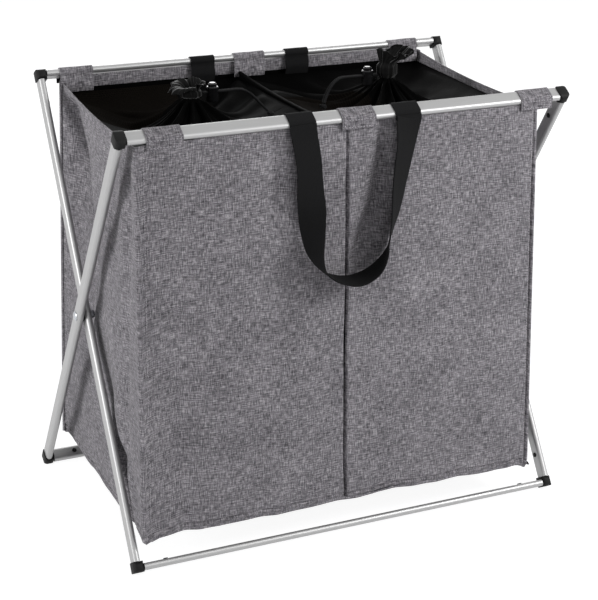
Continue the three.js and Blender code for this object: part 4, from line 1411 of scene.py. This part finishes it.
class HAMPER_OT_drawstrings(bpy.types.Operator):
    """Makes the two ends of each drawstring and their knot"""

    bl_idname = "hamper.drawstrings"
    bl_label = "Drawstrings"

    def execute(self, context):
        for side, neck in NECKS.items():
            routes = {"front": self.route(neck, -1), "rear": self.route(neck, 1)}
            cords = {}
            for end, points in routes.items():
                node = f"{side}_drawstring_{end}"
                cords[end] = tube_along(f"{node}_cord", points, CORD_RADIUS, 12, "braided_cord")
                carry(cords[end], f"{side}_neck", "cord", node)
            pieces = [self.knot(side)]
            pieces += [frame["nodes"][f"{side}_lock_{part}"] for part in ("barrel", "plunger")]
            pieces.append(bpy.data.objects[f"{side}_lock_spring_coil"])
            for end, points in routes.items():
                length = sum(math.dist(a, b) for a, b in zip(points, points[1:]))
                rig.cord(
                    cords[end], exit=points[0], length=length, diameter=2 * CORD_RADIUS,
                    far_end="knot", stiffness="limp", lay="hanging", path=points,
                    with_pieces=pieces if end == "front" else (),
                )
        return {"FINISHED"}

    def route(self, neck, step):
        """The middle line of one end, from the neck to the knot."""
        stops = [(
            neck["x"] + neck["way"] * (CORD_START + along / 1000),
            neck["y"] + forwards / 1000 + step * CORD_HALF_SPACING * spread,
            CORD_Z + up / 1000,
        ) for (along, up, forwards), spread in zip(CORD_ROUTE, CORD_SPREAD)]
        return [catmull(stops, i / 36) for i in range(37)]

    def knot(self, side):
        """One overhand knot of both ends: a cord wound round itself in a small ball."""
        node = f"{side}_drawstring_knot"
        low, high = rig.box(node)
        centre = (Vector(low) + Vector(high)) / 2
        turns = []
        for i in range(97):
            t = 2 * math.pi * i / 96
            reach = 0.95 * (1.05 + 0.42 * math.cos(3 * t))
            turns.append(centre + KNOT_SIZE * Vector((
                reach * math.cos(2 * t), reach * math.sin(2 * t), 0.62 * math.sin(3 * t),
            )))
        knot = tube_along(f"{node}_cord", turns, KNOT_RADIUS, 10, "braided_cord")
        carry(knot, f"{side}_neck", "cord", node)
        return knot


class HAMPER_OT_tubes(bpy.types.Operator):
    """Makes the rails and legs"""

    bl_idname = "hamper.tubes"
    bl_label = "Tubes"

    def execute(self, context):
        rail_length = OUTER_LEG_X + INNER_LEG_X - 2 * TUBE_END_GAP
        leg_length = 2 * (HALF_LEG - TUBE_END_GAP)
        shift = (INNER_LEG_X - OUTER_LEG_X) / 2
        for node, place, lean, nub in (
            ("front_top_rail", (shift, -RAIL_Y, TOP_RAIL_Z), LEAN, -1),
            ("rear_bottom_rail", (shift, RAIL_Y, BOTTOM_RAIL_Z), LEAN, 1),
            ("rear_top_rail", (-shift, RAIL_Y, TOP_RAIL_Z), -LEAN, -1),
            ("front_bottom_rail", (-shift, -RAIL_Y, BOTTOM_RAIL_Z), -LEAN, 1),
            ("left_outer_leg", (-OUTER_LEG_X, 0, PIVOT_Z), LEAN, 1),
            ("right_inner_leg", (INNER_LEG_X, 0, PIVOT_Z), LEAN, -1),
            ("right_outer_leg", (OUTER_LEG_X, 0, PIVOT_Z), -LEAN, -1),
            ("left_inner_leg", (-INNER_LEG_X, 0, PIVOT_Z), -LEAN, 1),
        ):
            leg = node.endswith("leg")
            length = leg_length if leg else rail_length
            piece = tube(f"{node}_tube", length, place, lean, nub, leg)
            carry(piece, loop_of(node), "anodised_tube", node)
        return {"FINISHED"}


class HAMPER_OT_connectors(bpy.types.Operator):
    """Makes the corner connectors"""

    bl_idname = "hamper.connectors"
    bl_label = "Connectors"

    def execute(self, context):
        for node in frame["nodes"]:
            if node.startswith("corner_"):
                piece = bevelled_copy(node, 0.0007, "matt_nylon")
                carry(piece, loop_of(node), "connector_plastic", node)
        return {"FINISHED"}


class HAMPER_OT_pivots(bpy.types.Operator):
    """Makes the pivot bolts, washers and nuts"""

    bl_idname = "hamper.pivots"
    bl_label = "Pivots"

    def execute(self, context):
        for side, way in (("left", 1), ("right", -1)):
            for part, profile, kind, slot in (
                ("bolt", self.bolt(), "zinc_plated_steel", "plated_steel"),
                ("washer", WASHER_PROFILE, "matt_nylon", "connector_plastic"),
                ("nut", NUT_PROFILE, "zinc_plated_steel", "plated_steel"),
            ):
                node = f"pivot_{part}_{side}"
                low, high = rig.box(node)
                outer = low[0] if way > 0 else high[0]
                profile = [(radius, way * along) for radius, along in profile]
                piece = turned(f"{node}_turning", profile, Vector((outer, 0, PIVOT_Z)))
                give(piece, kind)
                carry(piece, "frame_a", slot, node)
        return {"FINISHED"}

    def bolt(self):
        """The profile of a domed bolt with a short chamfer on its end."""
        dome = []
        for i in range(9):
            angle = BOLT_DOME * i / 8
            rise = (1 - math.cos(angle)) / (1 - math.cos(BOLT_DOME))
            radius = BOLT_HEAD * math.sin(angle) / math.sin(BOLT_DOME)
            dome.append((radius, 0.9 * BOLT_HEAD_DEEP * rise))
        return dome + [
            (BOLT_HEAD, BOLT_HEAD_DEEP), (BOLT_SHANK, BOLT_HEAD_DEEP),
            (BOLT_SHANK, BOLT_LENGTH - BOLT_CHAMFER),
            (BOLT_SHANK - BOLT_CHAMFER, BOLT_LENGTH), (0, BOLT_LENGTH),
        ]


class HAMPER_OT_bag(bpy.types.Operator):
    """Makes the bag: its front and sides in one, its back, base and piping"""

    bl_idname = "hamper.bag"
    bl_label = "Bag"

    def execute(self, context):
        sizes = context.scene.hamper_sizes
        corner = SIDE_RUN + CORNER_RUN / 2
        seam = SIDE_RUN + CORNER_RUN - CORNER_ROUND + sizes.edge_seam
        closer = [(SHELL_RUN / 2 + SEAM_X, 0.004, 0.0005)]
        for u, reach, fine in ((corner, 0.008, 0.001), (seam, 0.003, 0.0006)):
            closer += [(u, reach, fine), (SHELL_RUN - u, reach, fine)]
        shell = self.wall("bag_shell", SHELL_RUN, closer, shell_place, lambda p: rim_z(p.y))
        carry(
            shell, "bag", "melange_cloth", "front_panel", "left_side_panel", "right_side_panel",
            keep=FOLD_KEEP,
        )
        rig.sheet(
            shell, flat=(SHELL_RUN, WALL_HEIGHT), held="hung", rests_on=self.tabs("front"),
        )

        closer = [(BACK_RUN / 2 - SEAM_X, 0.004, 0.0005)]
        for u, reach in ((WRAP, 0.004), (WRAP + CORNER_RUN, 0.008)):
            closer += [(u, reach, 0.001), (BACK_RUN - u, reach, 0.001)]
        back = self.wall("bag_back", BACK_RUN, closer, back_place, lambda p: back_rim(p.x))
        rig.blend(
            back, "frame_b", "back_panel",
            start=(0, RAIL_Y, TOP_RAIL_Z + 0.005), end=(0, RAIL_Y, TOP_RAIL_Z - TAB_HANG),
        )
        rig.replaces(back, "back_panel")
        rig.slot(back, "melange_cloth")
        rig.sheet(back, flat=(BACK_RUN, WALL_HEIGHT), held="hung", rests_on=self.tabs("rear"))

        width, depth = 2 * (SIDE - BASE_INSET), 2 * (FACE - BASE_INSET)

        def base_place(u, v):
            x, y = u - width / 2, depth / 2 - v
            z = bottom_z(x * SIDE / (width / 2), y * FACE / (depth / 2))
            return Vector((x, y, z + 0.0005))

        base = cloth_grid("bag_base", stations(width, 0.008), stations(depth, 0.008), base_place)
        give(base, "melange_weave", "satin_lining")
        wall_of(base, sizes.cloth)
        carry(base, "bag", "melange_cloth", "base_panel", keep=INSIDE_KEEP)
        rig.sheet(base, flat=(width, depth), held="stretched", rests_on=[shell, back])

        self.piping(sizes)
        self.topstitching(sizes, seam + 0.003)
        return {"FINISHED"}

    def wall(self, name, run, closer, place, rim):
        """A wall of the bag, lined inside below the grey band of its hem."""
        sizes = bpy.context.scene.hamper_sizes
        heights = stations(WALL_HEIGHT, 0.0055, (0.007, 0.0075, 0.0009))
        wall = cloth_grid(name, stations(run, 0.0055, *closer), heights, place)
        give(wall, "melange_weave", "satin_lining")
        wall_of(wall, sizes.cloth, lambda middle: rim(middle) - sizes.hem_band)
        return wall

    def tabs(self, row):
        return [f"{row}_tab_{name}" for name in TAB_MIDDLES[row]]

    def piping(self, sizes):
        """Round piping where the walls meet the base."""
        path = []
        for u in stations(SHELL_RUN, 0.006):
            place = shell_place(u, 0)
            out = Vector((place.x / SIDE, place.y / FACE, 0))
            path.append(place - out * 0.0012 + Vector((0, 0, 0.0002)))
        piece = tube_along("bag_piping", path, sizes.piping, 8, "melange_weave")
        carry(piece, "bag", "melange_cloth", keep=INSIDE_KEEP)

    def topstitching(self, sizes, left_u):
        """Topstitching beside the front's upright edges."""
        for name, u in (("left", left_u), ("right", SHELL_RUN - left_u)):
            path = [
                shell_place(u, v) + Vector((0, -0.0002, 0)) for v in stations(WALL_HEIGHT, 0.006)
            ]
            rows = [(path, [(0, -1, 0)] * len(path))]
            row = stitching(f"front_{name}_stitching", rows, sizes.stitch, 0.00034)
            carry(row, "bag", "melange_cloth", keep=FOLD_KEEP)


class HAMPER_OT_divider(bpy.types.Operator):
    """Makes the divider between the bins, with its rolled hem"""

    bl_idname = "hamper.divider"
    bl_label = "Divider"

    def execute(self, context):
        height = DIVIDER_TOP - DIVIDER_LOW

        def top(y):
            return DIVIDER_TOP - RIM_SAG * (1 - (y / SEWN_IN) ** 2)

        def place(u, v):
            y = SEWN_IN - u
            z = lerp(DIVIDER_LOW, top(y), v / height)
            y = min(y, back_inside(z))
            edge = smooth_step(0, 0.04, SEWN_IN - abs(y)) * smooth_step(0.06, 0.12, z)
            bulge = 0.007 * ripple(y, z * 0.4, 0.07, 71) + 0.002 * ripple(y, z, 0.03, 72)
            bulge *= 1 - 0.8 * smooth_step(0.50, 0.545, z)
            bulge += 0.0008 * math.sin(math.pi * min(1, (top(y) - z) / 0.012))
            return Vector((SEAM_X + bulge * edge, y, z))

        heights = stations(height, 0.006, (height - 0.008, 0.008, 0.002))
        divider = cloth_grid("bin_divider", stations(2 * SEWN_IN, 0.005), heights, place)
        give(divider, "satin_lining")
        wall_of(divider, 0.0010)
        path = []
        for i in range(71):
            y = lerp(back_inside(top(SEWN_IN)), -SEWN_IN, i / 70)
            path.append((SEAM_X + 0.0004 + 0.0006 * ripple(y, 0, 0.03, 73), y, top(y) - 0.001))
        roll = tube_along("divider_hem", path, 0.0026, 10, "satin_lining")
        carry(divider, "bag", "lining_cloth", "centre_divider", keep=DIVIDER_KEEP)
        carry(roll, "bag", "lining_cloth", keep=DIVIDER_KEEP)
        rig.sheet(
            divider, flat=(2 * SEWN_IN, height), held="stretched",
            rests_on=["bag_shell", "bag_back"], with_pieces=[roll],
        )
        return {"FINISHED"}


class HAMPER_OT_covers(bpy.types.Operator):
    """Makes the two gathered covers and their ruffled necks"""

    bl_idname = "hamper.covers"
    bl_label = "Covers"

    def execute(self, context):
        for side in NECKS:
            self.cover(side)
            self.ruffle(side)
        return {"FINISHED"}

    def cover(self, side):
        us = [COVER_GIRTH * i / 200 for i in range(201)]
        vs = [COVER_DEEP * (i / 44) for i in range(45)]
        cover = cloth_grid(
            f"{side}_bin_cover", us, vs,
            lambda u, v: cover_point(side, 2 * math.pi * u / COVER_GIRTH, v / COVER_DEEP),
        )
        mend_normals(cover)
        zone = cover.data.attributes.new("net", "FLOAT", "POINT")
        for item, vertex in zip(zone.data, cover.data.vertices):
            item.value = net_zone(side, vertex.co.x, vertex.co.y)
        if sum(face.normal.z for face in cover.data.polygons) < 0:
            cover.data.flip_normals()
        give(cover, "satin_and_net")
        modify(cover, "SOLIDIFY", thickness=COVER_THICK, offset=-1)
        smooth(cover, 60)
        carry(cover, "bag", "lining_cloth", f"{side}_cover", keep=COVER_KEEP)
        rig.sheet(
            cover, flat=(COVER_GIRTH, COVER_DEEP), held="gathered",
            rests_on=["bag_shell", "bag_back", "bin_divider"],
        )

    def ruffle(self, side):
        """The cloth above the drawstring: a channel, and a limp frill that rolls over."""
        neck, shape = NECKS[side], RUFFLES[side]
        seed, flat = shape["seed"], shape["flat"]

        def place(u, v):
            angle = 2 * math.pi * u
            round_x, round_y = math.cos(angle), math.sin(angle)
            channel = smooth_step(0.0, 0.08, v) * smooth_step(0.30, 0.22, v)
            flare = smooth_step(0.22, shape["opening"], v)
            wander = ripple(round_x, round_y, 0.6, seed)
            fold = math.sin(shape["pleats"] * angle + 4 * wander)
            radius = 0.0098 + 0.0036 * channel + shape["spread"] * flare
            radius += fold * (0.0007 + 0.0019 * flare * (1 + wander))
            radius += 0.0055 * flare * ripple(round_x, round_y, 0.75, seed + 2)
            radius += 0.0006 * math.sin(21 * angle + 3 * wander) * (0.4 + flare)
            radius = min(radius, RUFFLE_WIDEST)
            lumps = ripple(round_x, round_y, 0.9, seed + 1)
            z = lerp(NECK_Z + TOUCH, shape["top"], math.sin(2.0 * v) * lerp(1, 1.03, v))
            z += flare ** 2 * (0.011 * lumps - 0.002 * fold)
            middle = Vector((neck["x"], neck["y"])) + Vector(shape["lean"]) * flare
            x, y = middle.x + radius * round_x, middle.y + radius * round_y
            return Vector((x, y, min(z, RUFFLE_TOP)))

        us, vs = [i / 180 for i in range(181)], [i / 34 for i in range(35)]
        ruffle = cloth_grid(f"{side}_ruffle", us, vs, place)
        mend_normals(ruffle)
        for item in ruffle.data.uv_layers["flat"].data:
            item.uv = (item.uv[0] * flat[0], item.uv[1] * flat[1])
        give(ruffle, "sheer_organza")
        modify(ruffle, "SOLIDIFY", thickness=COVER_THICK, offset=0)
        smooth(ruffle, 60)
        carry(
            ruffle, f"{side}_neck", "lining_cloth", f"{side}_cover_neck",
            keep=FOLD_KEEP, fold_y=neck["y"],
        )
        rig.sheet(ruffle, flat=flat, held="gathered", rests_on=[f"{side}_bin_cover"])


class HAMPER_OT_tabs(bpy.types.Operator):
    """Makes the six tabs over the top rails"""

    bl_idname = "hamper.tabs"
    bl_label = "Tabs"

    def execute(self, context):
        front_y = -FACE - TOUCH - TAB_THICK / 2 - 0.0006
        sizes = context.scene.hamper_sizes
        for row, turn, *bodies in ROWS:
            y = -RAIL_Y * math.cos(turn)
            for name, middle in TAB_MIDDLES[row].items():
                # The front's right tab reaches past the bag's edge, and ends above its rim
                short = (row, name) == ("front", "right")
                inside = TOP_RAIL_Z - RIM_Z - 0.001 if short else TAB_INSIDE_HANG
                path = over_rail(TAB_THICK, front_y, TAB_HANG, inside, row)
                start = math.cos(turn) * middle - TAB_WIDTH / 2
                node = f"{row}_tab_{name}"
                tab = wrapped_strip(
                    f"{node}_cloth", path, start, TAB_WIDTH, TAB_THICK, turn, 0.0005,
                    "melange_weave", "hook_and_loop",
                )
                seams = self.seams(path, start)
                thread = stitching(f"{node}_stitching", seams, sizes.stitch, 0.0005)
                thread.data.transform(Matrix.Rotation(turn, 4, "Z"))
                for piece in (tab, thread):
                    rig.blend(
                        piece, *bodies[:2],
                        start=(0, y, TOP_RAIL_Z + 0.005), end=(0, y, TOP_RAIL_Z - TAB_HANG),
                    )
                    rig.slot(piece, "melange_cloth")
                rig.replaces(tab, node)
                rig.sheet(
                    tab, flat=(TAB_WIDTH, running_lengths(path)[-1]), held="folded",
                    rests_on=[f"{row}_top_rail"], with_pieces=[thread],
                )
        return {"FINISHED"}

    def seams(self, path, start):
        """A sewn rectangle on the hanging end, and a row up each edge and over the rail."""
        inset, reach = 0.0035, 14
        places, outwards = [], []
        for i in range(1, reach):
            way = (path[i + 1] - path[i - 1]).normalized()
            out = Vector((-way.y, way.x))
            places.append(path[i] + out * (TAB_THICK / 2 + TOUCH))
            outwards.append(Vector((0, out.x, out.y)))
        ends = (start + inset, start + TAB_WIDTH - inset)
        rows = [([(x, p.x, p.y) for p in places], outwards) for x in ends]
        for i in (0, 4):
            xs = [lerp(*ends, k / 8) for k in range(9)]
            rows.append(([(x, places[i].x, places[i].y) for x in xs], [outwards[i]] * 9))
        return rows


class HAMPER_OT_straps(bpy.types.Operator):
    """Makes the two carrying straps"""

    bl_idname = "hamper.straps"
    bl_label = "Straps"

    def execute(self, context):
        first, last = (STRAP_MIDDLE + STRAP_ROUTE[i][0] * STRAP_LOOP_WIDTH for i in (0, -1))
        for row, turn, fixed, hung, swung in ROWS:
            limbs = ("left", "right") if row == "front" else ("right", "left")
            y = -RAIL_Y * math.cos(turn)
            path = over_rail(STRAP_THICK, STRAP_RAIL_Y, STRAP_HANG, STRAP_INSIDE_HANG, row)
            for x, limb in zip((first, last - STRAP_WIDTH), limbs):
                end = wrapped_strip(
                    f"{row}_strap_{limb}_webbing", path, x, STRAP_WIDTH, STRAP_THICK, turn,
                    0.0002, "ribbed_webbing",
                )
                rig.blend(
                    end, fixed, hung,
                    start=(0, y, TOP_RAIL_Z + 0.0055), end=(0, y, TOP_RAIL_Z - 0.004),
                )
                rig.replaces(end, f"{row}_strap_end_{limb}")
                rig.slot(end, "webbing")
            loop = self.loop(row, turn)
            y = -0.19 * math.cos(turn)
            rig.blend(
                loop, hung, swung,
                start=(0, y, TOP_RAIL_Z - 0.0055), end=(0, y, TOP_RAIL_Z - 0.030),
            )
            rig.replaces(loop, f"{row}_strap_loop")
            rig.slot(loop, "webbing")
        return {"FINISHED"}

    def loop(self, row, turn):
        rows = strap_place(180)
        lengths = running_lengths([edge + across * STRAP_WIDTH / 2 for edge, across, _ in rows])
        at = {round(length, 7): i for i, length in enumerate(lengths)}

        def place(u, v):
            edge, across, tangent = rows[at[round(v, 7)]]
            through = tangent.cross(across).normalized()
            return edge + across * u + through * (STRAP_THICK / 2)

        us = [STRAP_WIDTH * i / 10 for i in range(11)]
        loop = cloth_grid(f"{row}_strap_loop_webbing", us, lengths, place)
        modify(loop, "SOLIDIFY", thickness=STRAP_THICK, offset=-1)
        smooth(loop, 50)
        loop.data.transform(Matrix.Rotation(turn, 4, "Z"))
        give(loop, "ribbed_webbing")
        return loop


class HAMPER_OT_locks(bpy.types.Operator):
    """Finishes the cord locks"""

    bl_idname = "hamper.locks"
    bl_label = "Cord locks"

    def execute(self, context):
        for side in NECKS:
            for part in ("barrel", "plunger"):
                give(frame["nodes"][f"{side}_lock_{part}"], "polished_acetal")
            node = f"{side}_lock_spring"
            coil = bevelled_copy(node, 0, "zinc_plated_steel")
            coil.name = coil.data.name = f"{node}_coil"
            low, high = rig.box(node)
            carry(coil, f"{side}_lock", "plated_steel", node)
            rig.squash(
                coil, f"{side}_lock_press", axis=(0, 0, 1), anchor=(0, 0, low[2]),
                keep=1 - BUTTON_TRAVEL / (high[2] - low[2]),
            )
        return {"FINISHED"}


class HAMPER_PT_panel(bpy.types.Panel):
    """Lists the hamper's pieces in the sidebar"""

    bl_idname = "HAMPER_PT_panel"
    bl_label = "Laundry hamper"
    bl_space_type = "VIEW_3D"
    bl_region_type = "UI"
    bl_category = "Hamper"

    def draw(self, context):
        for group in (context.scene.hamper_sizes, context.scene.hamper_colours):
            for name in group.__annotations__:
                self.layout.prop(group, name)
        for operator in OPERATORS:
            self.layout.operator(operator.bl_idname)


OPERATORS = (
    HAMPER_OT_stage, HAMPER_OT_locks, HAMPER_OT_drawstrings, HAMPER_OT_tubes,
    HAMPER_OT_connectors, HAMPER_OT_pivots, HAMPER_OT_bag, HAMPER_OT_divider,
    HAMPER_OT_covers, HAMPER_OT_tabs, HAMPER_OT_straps,
)
CLASSES = (HamperSizes, HamperColours, *OPERATORS, HAMPER_PT_panel)


def register():
    for item in CLASSES:
        bpy.utils.register_class(item)
    bpy.types.Scene.hamper_sizes = bpy.props.PointerProperty(type=HamperSizes)
    bpy.types.Scene.hamper_colours = bpy.props.PointerProperty(type=HamperColours)


def unregister():
    del bpy.types.Scene.hamper_sizes
    del bpy.types.Scene.hamper_colours
    for item in reversed(CLASSES):
        bpy.utils.unregister_class(item)


def main():
    register()
    bpy.ops.hamper.stage()
    bpy.ops.hamper.locks()
    bpy.ops.hamper.drawstrings()
    bpy.ops.hamper.tubes()
    bpy.ops.hamper.connectors()
    bpy.ops.hamper.pivots()
    bpy.ops.hamper.bag()
    bpy.ops.hamper.divider()
    bpy.ops.hamper.covers()
    bpy.ops.hamper.tabs()
    bpy.ops.hamper.straps()
    boxes = {"cad_box": CAD_BOX, "visual_box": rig.bounds()}
    with open(SIZE_FILE, "w") as file:
        json.dump({name: [list(corner) for corner in box] for name, box in boxes.items()}, file)


if __name__ == "__main__":
    main()
